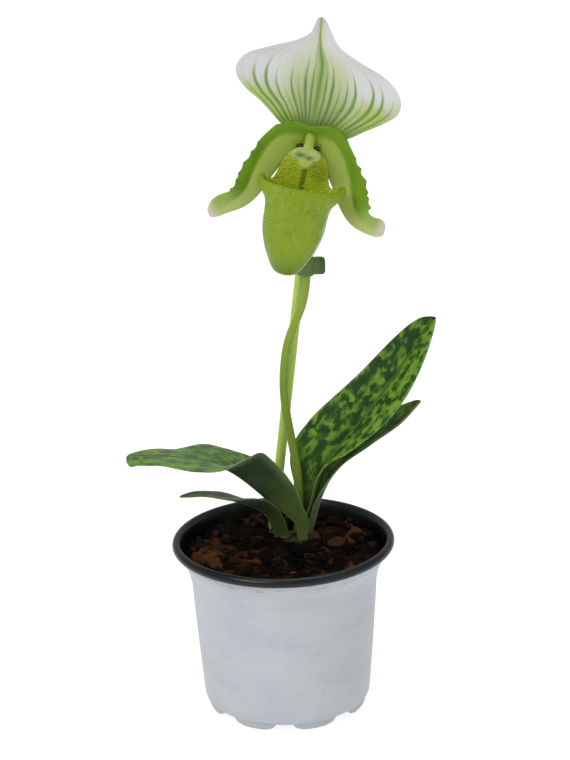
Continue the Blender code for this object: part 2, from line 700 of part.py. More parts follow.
def build_tie(group, cutters, material):
    """A soft clip round the flower stem and the stake, with a rounded tab at one side."""
    lean = Matrix.Rotation(math.radians(6), 4, "Y") @ Matrix.Rotation(math.radians(22), 4, "Z")
    place = Matrix.Translation(TIE_CENTRE) @ lean
    ring = flat_outline("tie", stadium(*TIE_OUTSIDE), TIE_HEIGHT, group)
    ring.matrix_world = place
    pieces = new_collection("tie_pieces")
    bpy.ops.mesh.primitive_cube_add(size=1)
    tab = bpy.context.object
    move_to(tab, pieces)
    tab.data.transform(Matrix.Diagonal((*TIE_TAB, 1)))
    tab.matrix_world = Matrix.Translation(TIE_CENTRE + Vector((7.2, -3.3, 0.1)) * MM)
    round_off = tab.modifiers.new("Round", "BEVEL")
    round_off.width = 2 * MM
    round_off.segments = 3
    fuse(ring, pieces, material)
    hole = as_cutter(flat_outline("tie_hole", stadium(*TIE_INSIDE), 2 * TIE_HEIGHT, cutters), cutters)
    hole.matrix_world = place
    cut(ring, hole)
    return ring


def main():
    clear_scene()
    parts = new_collection("potted_slipper_orchid")
    cutters = new_collection("cutters")
    leaf = finish("leaf", (0.05, 0.13, 0.03), 0.45)
    petal = finish("petal", (0.21, 0.35, 0.05), 0.5)
    stem = finish("stem", (0.17, 0.26, 0.05), 0.5)

    build_pot(parts, cutters, finish("pot_plastic", (0.52, 0.55, 0.57), 0.45))
    soil = build_substrate(parts, finish("bark", (0.035, 0.020, 0.012), 0.9))
    build_rootstock("rootstock", 0.0, finish("root", (0.16, 0.14, 0.06), 0.8), parts)
    cut(soil, as_cutter(build_rootstock("root_hole", GAP, None, cutters), cutters))
    build_leaves(parts, leaf)
    build_scape(parts, stem)
    build_bract(parts, stem)
    build_sepals(parts, finish("sepal", (0.55, 0.60, 0.50), 0.5), petal)
    build_petals(parts, petal)
    build_pouch(parts, finish("pouch", (0.20, 0.32, 0.03), 0.3))
    build_column(parts, finish("column", (0.35, 0.45, 0.15), 0.5))
    build_stake(parts, finish("stake", (0.35, 0.50, 0.08), 0.5))
    # EXACT leaves only the cut face of the bark here, and MANIFOLD leaves the whole of it.
    cut(soil, as_cutter(build_stake_hole(cutters), cutters), "MANIFOLD")
    build_tie(parts, cutters, finish("tie_plastic", (0.05, 0.08, 0.05), 0.5))


main()
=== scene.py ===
"""The potted slipper orchid, dressed for rendering. Lengths are in metres unless a name or a note says mm."""

import math

import bmesh
import bpy
import numpy as np
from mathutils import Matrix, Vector, noise


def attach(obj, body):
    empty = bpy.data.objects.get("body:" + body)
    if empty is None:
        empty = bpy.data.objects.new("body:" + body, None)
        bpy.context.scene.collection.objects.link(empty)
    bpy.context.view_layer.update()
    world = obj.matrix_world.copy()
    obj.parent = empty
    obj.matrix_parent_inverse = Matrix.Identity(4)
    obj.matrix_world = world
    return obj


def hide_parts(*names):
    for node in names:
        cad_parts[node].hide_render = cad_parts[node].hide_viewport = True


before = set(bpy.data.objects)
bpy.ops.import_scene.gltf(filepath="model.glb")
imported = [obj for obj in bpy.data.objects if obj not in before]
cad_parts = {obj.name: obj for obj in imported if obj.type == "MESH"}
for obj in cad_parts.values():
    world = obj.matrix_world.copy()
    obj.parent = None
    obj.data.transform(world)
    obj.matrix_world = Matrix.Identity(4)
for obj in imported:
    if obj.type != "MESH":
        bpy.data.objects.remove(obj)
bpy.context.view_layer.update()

MM = 0.001
FLOWER_BASE = np.array((19.7, 2.0, 313.6)) * MM
FLOWER_TURN = math.radians(12)


# Curves

def keyed(keys, t):
    """The value at t, a number or an array, of a smooth curve through (place, value) keys."""
    x, y = np.array(keys, float).T
    slope = np.empty(len(x))
    slope[1:-1] = (y[2:] - y[:-2]) / (x[2:] - x[:-2])
    slope[0] = (y[1] - y[0]) / (x[1] - x[0])
    slope[-1] = (y[-1] - y[-2]) / (x[-1] - x[-2])
    t = np.clip(t, x[0], x[-1])
    i = np.clip(np.searchsorted(x, t) - 1, 0, len(x) - 2)
    gap = x[i + 1] - x[i]
    u = (t - x[i]) / gap
    return (
        (2 * u**3 - 3 * u**2 + 1) * y[i] + (u**3 - 2 * u**2 + u) * gap * slope[i]
        + (3 * u**2 - 2 * u**3) * y[i + 1] + (u**3 - u**2) * gap * slope[i + 1]
    )


def smooth_path(points, count):
    """count points at even distances along a smooth curve through the given ones."""
    points = np.array(points, float)
    ends = np.vstack([2 * points[0] - points[1], points, 2 * points[-1] - points[-2]])
    fine = []
    for a, b, c, d in zip(ends, ends[1:], ends[2:], ends[3:]):
        t = (np.arange(24) / 24)[:, None]
        fine.append(0.5 * (2 * b + (c - a) * t + (2 * a - 5 * b + 4 * c - d) * t**2
                           + (3 * b - a - 3 * c + d) * t**3))
    fine = np.vstack([*fine, points[-1:]])
    far = np.concatenate([[0], np.cumsum(np.linalg.norm(np.diff(fine, axis=0), axis=1))])
    places = np.linspace(0, far[-1], count)
    return np.stack([np.interp(places, far, fine[:, k]) for k in range(3)], axis=1)


def step(low, high, x):
    """0 below low, 1 above high and smooth between them."""
    u = np.clip((x - low) / (high - low), 0, 1)
    return u * u * (3 - 2 * u)


def hump(x, centre, width):
    return np.exp(-(((x - centre) / width) ** 2))


def unit(v):
    return v / np.maximum(np.linalg.norm(v, axis=-1, keepdims=True), 1e-12)


def ripple(points, per_metre, seed=0.0, octaves=3):
    """Fractal noise, about -1 to 1, at each point."""
    shift = Vector((seed * 7.3, seed * 3.1, seed * 5.7))
    flat = np.asarray(points, float).reshape(-1, 3)
    made = [noise.fractal(Vector(p) * per_metre + shift, 0.9, 2.0, octaves) for p in flat]
    return np.array(made).reshape(np.shape(points)[:-1])


# Meshes

def make(name, points, faces, paint, replaces=(), slot=None, sharp=False, **attributes):
    """A closed mesh piece on the root body, with its faces turned outwards."""
    mesh = bpy.data.meshes.new(name)
    mesh.from_pydata(np.asarray(points, float).tolist(), [], [list(map(int, f)) for f in faces])
    for key, values in attributes.items():
        layer = mesh.attributes.new(key, "FLOAT_VECTOR", "POINT")
        layer.data.foreach_set("vector", np.asarray(values, np.float32).ravel())
    work = bmesh.new()
    work.from_mesh(mesh)
    bmesh.ops.recalc_face_normals(work, faces=work.faces)
    work.to_mesh(mesh)
    work.free()
    for face in mesh.polygons:
        face.use_smooth = not sharp
    made = bpy.data.objects.new(name, mesh)
    bpy.context.scene.collection.objects.link(made)
    mesh.materials.append(paint.material)
    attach(made, "root")
    if replaces:
        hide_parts(*replaces)
    return made


def ring_faces(rings, sides, first=0):
    """Quads between rings of sides points each."""
    i, k = np.meshgrid(np.arange(rings - 1), np.arange(sides), indexing="ij")
    here, there = first + i * sides, first + (i + 1) * sides
    after = (k + 1) % sides
    return np.stack([here + k, here + after, there + after, there + k], axis=-1).reshape(-1, 4).tolist()


class Solid:
    """Collects points, faces and attributes of one mesh."""

    def __init__(self):
        self.points, self.faces, self.place, self.grain, self.count = [], [], [], [], 0

    def add(self, points, faces, place, grain=None):
        points = np.asarray(points, float).reshape(-1, 3)
        self.faces += [[self.count + int(n) for n in face] for face in faces]
        self.points.append(points)
        for store, values in ((self.place, place), (self.grain, points / MM if grain is None else grain)):
            store.append(np.broadcast_to(np.asarray(values, float), (len(points), 3)))
        self.count += len(points)

    def build(self, name, paint, **options):
        return make(name, np.vstack(self.points), self.faces, paint, place=np.vstack(self.place),
                    grain=np.vstack(self.grain), **options)


def sheet_solid(name, mid, thickness, up, s, t, paint, front=None, back=None, solid=None, **options):
    """A closed thin solid about mid[row, column], which ends in a point and thins to its long edges.

    up holds a vector for each row that tells the front. front and back are heights added to each face.
    The attribute place is (s, t, side), and grain is millimetres across and along.
    """
    rows, columns = mid.shape[:2]
    normal = unit(np.cross(np.gradient(mid, axis=0), np.gradient(mid, axis=1)))
    if (normal[: rows * 3 // 4, columns // 2] * up[: rows * 3 // 4]).sum() < 0:
        normal = -normal
    half = 0.5 * thickness * np.sqrt(1 - np.abs(s) ** 6)[None, :] * np.sqrt(np.clip((1 - t) * 25, 0, 1))[:, None]
    edge = (1 - np.abs(s) ** 8)[None, :]
    upper = mid + normal * (half + (0 if front is None else front * edge))[..., None]
    lower = mid - normal * (half + (0 if back is None else back * edge))[..., None]
    inner = slice(columns - 2, 0, -1)
    ring = np.concatenate([upper, lower[:, inner]], axis=1)[:-1]
    far_across = np.concatenate([np.zeros((rows, 1)), np.cumsum(
        np.linalg.norm(np.diff(mid, axis=1), axis=2), axis=1)], axis=1)
    far_across = (far_across - far_across[:, columns // 2, None]) / MM
    middle = mid[:, columns // 2]
    far_along = np.concatenate([[0], np.cumsum(np.linalg.norm(np.diff(middle, axis=0), axis=1))]) / MM
    grid_s, grid_t = np.broadcast_arrays(s[None, :], t[:, None])
    side = np.ones((rows, columns))
    side[:, [0, -1]] = 0
    place = np.stack([grid_s, grid_t, side], axis=-1)
    grain = np.stack([far_across, np.broadcast_to(far_along[:, None], (rows, columns)), side * 0], axis=-1)
    under = place * (1, 1, -1)
    place = np.concatenate([place, under[:, inner]], axis=1)[:-1]
    grain = np.concatenate([grain, grain[:, inner]], axis=1)[:-1]
    sides = 2 * columns - 2
    faces = ring_faces(rows - 1, sides)
    tip = (rows - 1) * sides
    last = tip - sides
    faces += [[last + k, last + (k + 1) % sides, tip] for k in range(sides)]
    faces += [[j, j + 1, sides - j - 1, sides - j] for j in range(1, columns - 2)]
    faces += [[0, 1, sides - 1], [columns - 2, columns - 1, columns]]
    points = np.vstack([ring.reshape(-1, 3), mid[-1, :1]])
    made = solid or Solid()
    made.add(points, faces, np.vstack([place.reshape(-1, 3), [[0, 1, 0]]]),
             np.vstack([grain.reshape(-1, 3), [[0, far_along[-1], 0]]]))
    return made if solid else made.build(name, paint, **options)


def spread(columns):
    """Places from -1 to 1, closer together at both ends."""
    u = np.linspace(-1, 1, columns)
    return 0.65 * u + 0.35 * np.sin(u * math.pi / 2)


def blade(spine, side, face, halves, rises, rows, columns, bow=0.0, margin=None, level=False, soften=0.05):
    """The middle surface of a blade, and for each row the way its front looks.

    side points from the midrib to the first half, where s is above 0. halves and rises hold keys for
    the first half and for the second: its width in mm, and the degrees by which it rises.
    """
    path = smooth_path(np.array(spine, float) * MM, rows)
    t = np.arange(rows) / (rows - 1)
    s = spread(columns)
    along = unit(np.gradient(path, axis=0))
    side, face = np.array(side, float), np.array(face, float)
    across = np.broadcast_to(side, along.shape) if level else unit(side - (along @ side)[:, None] * along)
    upward = unit(np.cross(along, across))
    upward = upward * np.where((upward @ face) < 0, -1, 1)[:, None]
    mid = np.empty((rows, columns, 3))
    for j, place in enumerate(s):
        half, sign = (0, 1) if place > 0 else (1, -1)
        share = abs(place)
        rise = np.radians(keyed(rises[half], t))[:, None]
        outward = sign * np.cos(rise) * across + np.sin(rise) * upward
        normal = np.cos(rise) * upward - sign * np.sin(rise) * across
        width = (keyed(halves[half], t) * MM)[:, None]
        reach, lift = margin(t, half) if margin else (0 * t, 0 * t)
        offset = outward * width * share * (1 + reach[:, None] * share**4)
        mid[:, j] = path + offset + normal * (bow * width * share * (1 - share) + lift[:, None] * share**2)
    for _ in range(8):
        pull = (0.5 * hump(s, 0, soften))[None, 1:-1, None]
        mid[:, 1:-1] += pull * (0.5 * (mid[:, 2:] + mid[:, :-2]) - mid[:, 1:-1])
    mid[-1] = path[-1]
    return mid, upward, s, t


def rooted(mid, up, t, steps, down):
    """The same surface with rows added below its first, sunk by down and drawn in a little."""
    extra = []
    for n in range(steps, 0, -1):
        share = n / steps
        centre = mid[0].mean(axis=0)
        extra.append(centre + (mid[0] - centre) * (1 - 0.25 * share) + np.array(down) * share)
    return (np.concatenate([np.array(extra), mid]), np.vstack([np.repeat(up[:1], steps, axis=0), up]),
            np.concatenate([np.zeros(steps), t]))


def tube_solid(solid, path, radii, sides=24, relief=None, tag=0.0):
    """A round rod with closed ends. place is (turn, t, tag)."""
    path, radii = np.asarray(path, float), np.asarray(radii, float)
    along = unit(np.gradient(path, axis=0))
    normal = unit(np.cross(along[0], (0.31, 0.87, 0.11)))
    frames = []
    for direction in along:
        normal = unit(normal - direction * (normal @ direction))
        frames.append((normal, np.cross(direction, normal)))
    turn = np.arange(sides) * math.tau / sides
    rings = []
    for i, (a, b) in enumerate(frames):
        r = radii[i] * (1 if relief is None else relief(turn, i / (len(path) - 1)))
        rings.append(path[i] + (r * np.cos(turn))[:, None] * a + (r * np.sin(turn))[:, None] * b)
    t = np.linspace(0, 1, len(path))
    far = np.concatenate([[0], np.cumsum(np.linalg.norm(np.diff(path, axis=0), axis=1))]) / MM
    place = np.stack(np.broadcast_arrays(turn[None, :] / math.tau, t[:, None], tag), axis=-1)
    grain = np.stack(np.broadcast_arrays(turn[None, :] * radii[:, None] / MM, far[:, None], 0.0), axis=-1)
    count = len(path) * sides
    faces = ring_faces(len(path), sides)
    faces += [[count, k, (k + 1) % sides] for k in range(sides)]
    faces += [[count + 1, count - sides + k, count - sides + (k + 1) % sides] for k in range(sides)]
    solid.add(np.vstack([*rings, path[:1], path[-1:]]), faces,
              np.vstack([place.reshape(-1, 3), [[0, 0, tag], [0, 1, tag]]]),
              np.vstack([grain.reshape(-1, 3), [[0, 0, 0], [0, far[-1], 0]]]))
    return solid


def hair(solid, root, way, length, radius, tag=0.0):
    """A thin three-sided spike."""
    way = unit(np.asarray(way, float))
    a = unit(np.cross(way, (0.3, 0.5, 0.81)))
    b = np.cross(way, a)
    ring = [root - way * radius + radius * (math.cos(k) * a + math.sin(k) * b) for k in (0, 2.09, 4.19)]
    solid.add([*ring, root + way * length], [[0, 1, 2], [0, 1, 3], [1, 2, 3], [2, 0, 3]], (0, 0, tag))


def in_flower(points):
    """Points in the flower's own frame, (right, up, forward) in mm, as points of the world."""
    right, up, forward = np.moveaxis(np.asarray(points, float), -1, 0)
    turn, lift = math.cos(FLOWER_TURN), math.sin(FLOWER_TURN)
    point = np.stack([right * turn + up * lift, -forward, up * turn - right * lift], axis=-1)
    return FLOWER_BASE + point * MM


# Materials

def rgb(red, green, blue, share=1.0):
    """A display colour of 0 to 255 as a linear one."""
    linear = [c / 12.92 if c <= 0.04045 else ((c + 0.055) / 1.055) ** 2.4
              for c in (red / 255, green / 255, blue / 255)]
    return (*[c * share for c in linear], 1)


class Paint:
    """A Principled material, with short ways to add nodes."""

    def __init__(self, name, roughness=0.5, **sockets):
        self.material = bpy.data.materials.new(name)
        self.material.use_nodes = True
        self.tree = self.material.node_tree
        self.shader = self.tree.nodes["Principled BSDF"]
        self.set(Roughness=roughness, **sockets)

    def set(self, **sockets):
        for name, value in sockets.items():
            self.put(self.shader.inputs[name.replace("_", " ")], value)

    def put(self, socket, value):
        if isinstance(value, bpy.types.NodeSocket):
            self.tree.links.new(value, socket)
        elif value is not None:
            socket.default_value = value

    def node(self, kind, inputs=(), **settings):
        made = self.tree.nodes.new("ShaderNode" + kind)
        for name, value in settings.items():
            setattr(made, name, value)
        for key, value in dict(inputs).items():
            self.put(made.inputs[key], value)
        return made

    def attribute(self, name):
        return self.node("Attribute", attribute_name=name).outputs["Vector"]

    def split(self, vector):
        return self.node("SeparateXYZ", {0: vector}).outputs[:]

    def join(self, x, y, z=0.0):
        return self.node("CombineXYZ", {0: x, 1: y, 2: z}).outputs[0]

    def math(self, operation, a, b=0.0, c=0.0):
        return self.node("Math", {0: a, 1: b, 2: c}, operation=operation).outputs[0]

    def scaled(self, vector, by):
        return self.node("VectorMath", {0: vector, 1: by}, operation="MULTIPLY").outputs[0]

    def added(self, vector, other):
        return self.node("VectorMath", {0: vector, 1: other}, operation="ADD").outputs[0]

    def smooth(self, value, low, high, start=0.0, end=1.0):
        return self.node("MapRange", {0: value, 1: low, 2: high, 3: start, 4: end},
                         interpolation_type="SMOOTHSTEP").outputs[0]

    def mix(self, share, a, b, blend="MIX"):
        return self.node("Mix", {0: share, 6: a, 7: b}, data_type="RGBA", blend_type=blend).outputs[2]

    def noise(self, vector, scale, detail=3.0, roughness=0.55, distortion=0.0):
        return self.node("TexNoise", {"Vector": vector, "Scale": scale, "Detail": detail,
                                      "Roughness": roughness, "Distortion": distortion}).outputs[0]

    def cells(self, vector, scale, feature="F1", randomness=1.0):
        return self.node("TexVoronoi", {"Vector": vector, "Scale": scale, "Randomness": randomness},
                         feature=feature).outputs

    def ramp(self, value, stops):
        made = self.node("ValToRGB", {0: value})
        points = made.color_ramp.elements
        while len(points) < len(stops):
            points.new(1.0)
        for point, (place, colour) in zip(points, stops):
            point.position = place
            point.color = colour if hasattr(colour, "__len__") else (colour, colour, colour, 1)
        return made.outputs[0]

    def bump(self, height, distance, strength=1.0, base=None):
        made = self.node("Bump", {"Height": height, "Distance": distance, "Strength": strength, "Normal": base})
        self.put(self.shader.inputs["Normal"], made.outputs[0])
        return made.outputs[0]


def leaf_paint(name, seed, light=1.0, bias=0.0, sheen=0.0, calm=0.0, calm_to=(70, 100, 46)):
    """A strap leaf: dark and light green blocks above, plain dark green below, paler towards its base."""
    p = Paint(name, 0.42, Specular_IOR_Level=0.17)
    s, t, side = p.split(p.attribute("place"))
    x, y, _ = p.split(p.attribute("grain"))
    flat = p.join(x, y, seed)
    bent = p.added(flat, p.scaled(p.node("TexNoise", {"Vector": flat, "Scale": 0.35, "Detail": 2.0}).outputs[1],
                                  (1.6, 2.4, 0)))
    blotch = p.noise(p.scaled(bent, (0.21, 0.135, 1)), 1.0, 1.2, 0.5)
    block = p.split(p.cells(p.scaled(bent, (0.50, 0.27, 1)), 1.0)["Color"])[0]
    value = p.math("MULTIPLY_ADD", block, 0.25, blotch)
    value = p.math("ADD", value, p.math("MULTIPLY_ADD", s, 0.05, bias - 0.125))
    value = p.math("ADD", value, p.smooth(t, 0.5, 0.9, 0.0, 0.02))
    top = p.ramp(value, [
        (0.0, rgb(26, 54, 18)), (0.40, rgb(38, 70, 24)), (0.47, rgb(60, 96, 30)), (0.53, rgb(84, 122, 36)),
        (0.64, rgb(104, 142, 40)), (1.0, rgb(118, 156, 50)),
    ])
    # calm pulls the blocks towards calm_to; on leaf_right_small this is painted sheen.
    top = p.mix(calm, top, rgb(*calm_to))
    stripe = p.math("SINE", p.math("MULTIPLY", x, 5.2))
    plain = p.mix(p.smooth(stripe, -1.0, 1.0), rgb(72, 98, 40), rgb(94, 118, 56))
    keel = p.math("ABSOLUTE", s)
    top = p.mix(p.smooth(keel, 0.075, 0.02), top, rgb(52, 86, 36))
    top = p.mix(p.smooth(keel, 0.012, 0.0, 0.0, 0.7), top, rgb(120, 150, 84))
    top = p.mix(p.smooth(t, 0.34, 0.06), top, plain)
    under = p.mix(p.noise(p.scaled(flat, (0.3, 0.08, 1)), 1.0), rgb(44, 64, 28), rgb(66, 90, 42))
    under = p.mix(p.smooth(t, 0.22, 0.42), under, p.mix(blotch, rgb(20, 36, 12), rgb(42, 62, 26)))
    # A lighter band along the underside's margins: painted light where the leaf's crest catches the light.
    under = p.mix(p.smooth(keel, 0.70, 0.98, 0.0, 0.6), under, rgb(84, 112, 54))
    under = p.mix(p.smooth(keel, 0.05, 0.0), under, rgb(96, 122, 62))
    under = p.mix(p.smooth(t, 0.34, 0.05), under, p.mix(p.smooth(stripe, -1.0, 1.0), rgb(76, 98, 44),
                                                        rgb(104, 126, 62)))
    colour = p.mix(p.smooth(side, -0.15, 0.15), under, top)
    colour = p.mix(p.smooth(keel, 0.965, 0.995, 0.0, 0.55), colour, rgb(150, 168, 120))
    colour = p.mix(p.smooth(t, 0.06, 0.0), colour, rgb(104, 112, 60))
    p.set(Base_Color=p.mix(1.0, colour, (light, light, light, 1), "MULTIPLY"))
    fine = p.math("MULTIPLY_ADD", p.math("SINE", p.math("MULTIPLY", x, 9.0)), 0.35, p.noise(flat, 2.2, 3.0))
    first = p.bump(fine, 0.00012, 0.6)
    p.bump(p.noise(p.scaled(flat, (0.4, 0.1, 1)), 1.0, 2.0), 0.0012, 0.5, first)
    p.set(Roughness=p.smooth(p.noise(flat, 0.5), 0.3, 0.7, 0.36, 0.50), Sheen_Weight=sheen, Sheen_Roughness=0.4)
    return p


# Where the veins of the dorsal sepal lie, as shares of its half width, with their strengths
LEFT_VEINS = [(0.0, 1.0), (0.085, 0.62), (0.17, 0.8), (0.25, 0.6), (0.335, 0.85), (0.425, 0.55), (0.52, 0.75),
              (0.645, 1.0), (0.79, 0.95), (0.91, 0.7)]
RIGHT_VEINS = [(0.0, 1.0), (0.08, 0.62), (0.16, 0.78), (0.245, 0.6), (0.335, 0.8), (0.44, 0.95), (0.545, 0.55),
               (0.655, 0.95), (0.78, 0.9), (0.90, 0.7)]


def sepal_paint():
    """White with green veins that fan from the base, thin out upwards and end before the margin."""
    p = Paint("sepal_striped", 0.5, Subsurface_Weight=0.15, Subsurface_Scale=0.001,
              Subsurface_Radius=(0.5, 0.5, 0.45), Sheen_Weight=0.1)
    s, t, side = p.split(p.attribute("place"))
    flat = p.attribute("grain")
    wobble = p.math("MULTIPLY_ADD", p.noise(p.scaled(flat, (0.10, 0.05, 1)), 1.0, 2.0), 0.05, -0.025)
    w = p.math("ADD", p.math("ABSOLUTE", s), wobble)
    w = p.math("MULTIPLY", w, p.smooth(t, 0.0, 0.08, 1.35, 1.0))

    def stops(veins):
        made = []
        for (before, _), (at, strength), (after, _) in zip(
                [(-0.09, 0), *veins], veins, [*veins[1:], (1.02, 0)]):
            if at > 0:
                made.append(((before + at) / 2, 0.02))
            made.append((at, strength))
        return [*made, (0.975, 0.0)]

    right = p.smooth(s, -0.001, 0.001)
    vein = p.mix(right, p.ramp(w, stops(LEFT_VEINS)), p.ramp(w, stops(RIGHT_VEINS)))
    keel = p.math("ABSOLUTE", s)
    height = p.math("ADD", t, p.math("MULTIPLY", p.smooth(keel, 0.0, 0.34, 0.34, 0.0), -1.0))
    height = p.math("ADD", height, p.smooth(keel, 0.55, 1.0, 0.0, 0.10))
    faded = p.ramp(height, [(0.0, 0.0), (0.12, 0.01), (0.25, 0.08), (0.40, 0.22), (0.50, 0.36), (0.60, 0.54),
                            (0.68, 0.76), (0.73, 1.0)])
    line = p.smooth(p.math("SUBTRACT", vein, faded), 0.20, 0.62)
    rib = p.math("MULTIPLY", keel, p.smooth(t, 0.0, 0.85, 1.0, 0.33))
    ground = p.ramp(t, [
        (0.0, rgb(84, 124, 34)), (0.06, rgb(104, 134, 50)), (0.15, rgb(134, 154, 86)), (0.30, rgb(156, 170, 112)),
        (0.48, rgb(170, 180, 134)), (0.62, rgb(184, 190, 160)), (0.76, rgb(194, 198, 180)),
        (0.92, rgb(184, 194, 146)), (1.0, rgb(150, 176, 78)),
    ])
    beside = p.mix(p.smooth(t, 0.18, 0.46), rgb(172, 184, 124), rgb(198, 199, 197))
    white = p.mix(p.smooth(keel, 0.20, 0.55), ground, beside)
    ground = p.mix(p.smooth(t, 0.04, 0.20), ground, white)
    flush = p.math("MULTIPLY", p.smooth(p.noise(p.scaled(flat, (0.07, 0.10, 1)), 1.0, 1.0), 0.42, 0.58),
                   p.math("MULTIPLY", p.smooth(t, 0.50, 0.22), p.smooth(keel, 0.42, 0.62)))
    ground = p.mix(p.math("MULTIPLY", flush, 0.75), ground, rgb(164, 186, 76))
    green = p.mix(p.smooth(keel, 0.12, 0.50), rgb(88, 116, 46), rgb(96, 134, 34))
    green = p.mix(p.smooth(t, 0.38, 0.64), green, rgb(126, 152, 78))
    minor = p.math("MULTIPLY", p.smooth(p.math("SINE", p.math("MULTIPLY", w, 190.0)), 0.1, 1.0),
                   p.smooth(t, 0.48, 0.16, 0.0, 0.40))
    colour = p.mix(minor, ground, green)
    colour = p.mix(p.math("MULTIPLY", line, 0.92), colour, green)
    middle = p.smooth(rib, 0.055, 0.008)
    colour = p.mix(p.math("MULTIPLY", middle, 0.8), colour, rgb(122, 150, 62))
    colour = p.mix(p.smooth(rib, 0.012, 0.004, 0.0, 0.6), colour, rgb(84, 116, 40))
    base = p.smooth(t, 0.10, 0.01)
    colour = p.mix(p.math("MULTIPLY", base, 0.8), colour, rgb(88, 130, 34))
    curl = p.math("MULTIPLY", p.smooth(s, 0.86, 0.98), p.smooth(t, 0.22, 0.10))
    colour = p.mix(curl, colour, rgb(122, 156, 50))
    behind = p.mix(p.math("MULTIPLY", line, 0.5), rgb(200, 206, 184), rgb(132, 160, 80))
    p.set(Base_Color=p.mix(p.smooth(side, -0.1, 0.1), behind, colour))
    fine = p.noise(p.scaled(flat, (3.0, 0.8, 1)), 1.0, 3.0)
    p.bump(p.math("MULTIPLY_ADD", fine, 0.25, p.math("MULTIPLY", vein, -0.8)), 0.00035, 0.6)
    return p


def petal_paint():
    """Fresh green in the outer half, paler with fine stripes in the inner one, with a pinkish white tip."""
    p = Paint("petal_green", 0.42, Subsurface_Radius=(0.4, 0.6, 0.2), Subsurface_Weight=0.15, Subsurface_Scale=0.001,
              Specular_IOR_Level=0.2)
    s, t, side = p.split(p.attribute("place"))
    flat = p.attribute("grain")
    x, y, _ = p.split(flat)
    soft = p.noise(p.scaled(flat, (0.25, 0.12, 1)), 1.0, 2.0)
    outer = p.mix(soft, rgb(90, 128, 16), rgb(114, 150, 26))
    line = p.smooth(p.math("SINE", p.math("MULTIPLY", x, 4.6)), 0.2, 0.95)
    inner = p.mix(p.smooth(t, 0.0, 0.8), rgb(138, 162, 56), rgb(156, 172, 84))
    inner = p.mix(p.math("MULTIPLY", line, p.smooth(soft, 0.3, 0.7, 0.2, 0.6)), inner, rgb(112, 142, 46))
    edge = p.math("ADD", s, p.math("MULTIPLY_ADD", soft, 0.3, -0.10))
    edge = p.math("ADD", edge, p.smooth(t, 0.30, 0.0, 0.0, 0.22))
    colour = p.mix(p.smooth(edge, -0.16, 0.10), inner, outer)
    colour = p.mix(p.smooth(p.math("ABSOLUTE", s), 0.05, 0.0, 0.0, 0.6), colour, rgb(84, 118, 30))
    pale = p.mix(p.smooth(s, -0.5, 0.7), rgb(168, 182, 108), rgb(140, 164, 74))
    colour = p.mix(p.smooth(t, 0.66, 0.86), colour, pale)
    colour = p.mix(p.smooth(t, 0.90, 0.99), colour, rgb(196, 186, 166))
    under = p.mix(line, rgb(128, 156, 60), rgb(110, 140, 46))
    p.set(Base_Color=p.mix(p.smooth(side, -0.1, 0.1), under, colour))
    p.bump(p.math("MULTIPLY_ADD", line, -0.5, p.noise(flat, 1.6, 3.0)), 0.00025, 0.55)
    p.set(Roughness=p.smooth(soft, 0.3, 0.7, 0.36, 0.48))
    return p


def pouch_paint():
    """Waxy yellow-green with a fine net, finely ridged outside and beaded inside."""
    p = Paint("pouch_waxy", 0.3, Subsurface_Radius=(0.4, 0.6, 0.2), Subsurface_Weight=0.1, Subsurface_Scale=0.001,
              Specular_IOR_Level=0.28)
    turn, height, inside = p.split(p.attribute("place"))
    flat = p.attribute("grain")
    x, y, z = p.split(flat)
    soft = p.noise(flat, 0.09, 2.0)
    out = p.mix(soft, rgb(112, 138, 12), rgb(134, 156, 18))
    # The lower half of the outside is painted darker: painted shade where the pouch curves under.
    out = p.mix(p.smooth(height, 0.50, 0.0), out, rgb(94, 118, 18))
    net = p.smooth(p.cells(p.scaled(flat, (0.55, 0.55, 0.22)), 1.0, "DISTANCE_TO_EDGE")[0], 0.10, 0.0)
    out = p.mix(p.math("MULTIPLY", net, 0.30), out, rgb(92, 124, 22))
    within = p.mix(soft, rgb(148, 170, 20), rgb(172, 188, 36))
    # The groove in the inner back wall is painted darker green: painted shade in the groove.
    groove = p.attribute("groove")
    within = p.mix(p.math("MULTIPLY", p.split(groove)[0], 0.8), within, rgb(84, 112, 22))
    p.set(Base_Color=p.mix(inside, out, within))
    wavy = p.math("ADD", p.math("MULTIPLY_ADD", x, -0.12, z), p.math("MULTIPLY", p.noise(flat, 0.14, 2.0), 3.5))
    ridges = p.math("SINE", p.math("MULTIPLY", wavy, 4.0))
    broken = p.math("MULTIPLY", ridges, p.smooth(p.noise(p.scaled(flat, (0.45, 0.45, 0.2)), 1.0), 0.36, 0.60))
    outer = p.math("MULTIPLY", broken, p.smooth(height, 0.30, 0.60, 0.10, 0.34))
    beads = p.smooth(p.cells(p.scaled(flat, (0.6, 0.6, 0.95)), 1.0)[0], 0.0, 0.6, 1.0, 0.0)
    relief = p.math("ADD", p.math("MULTIPLY", outer, p.math("SUBTRACT", 1.0, inside)),
                    p.math("MULTIPLY", p.math("MULTIPLY", beads, inside), 0.62))
    relief = p.math("ADD", relief, p.math("MULTIPLY", net, -0.12))
    p.bump(relief, 0.00055, 0.9)
    p.set(Roughness=p.math("SUBTRACT", p.smooth(soft, 0.3, 0.7, 0.25, 0.33), p.math("MULTIPLY", inside, 0.10)))
    return p


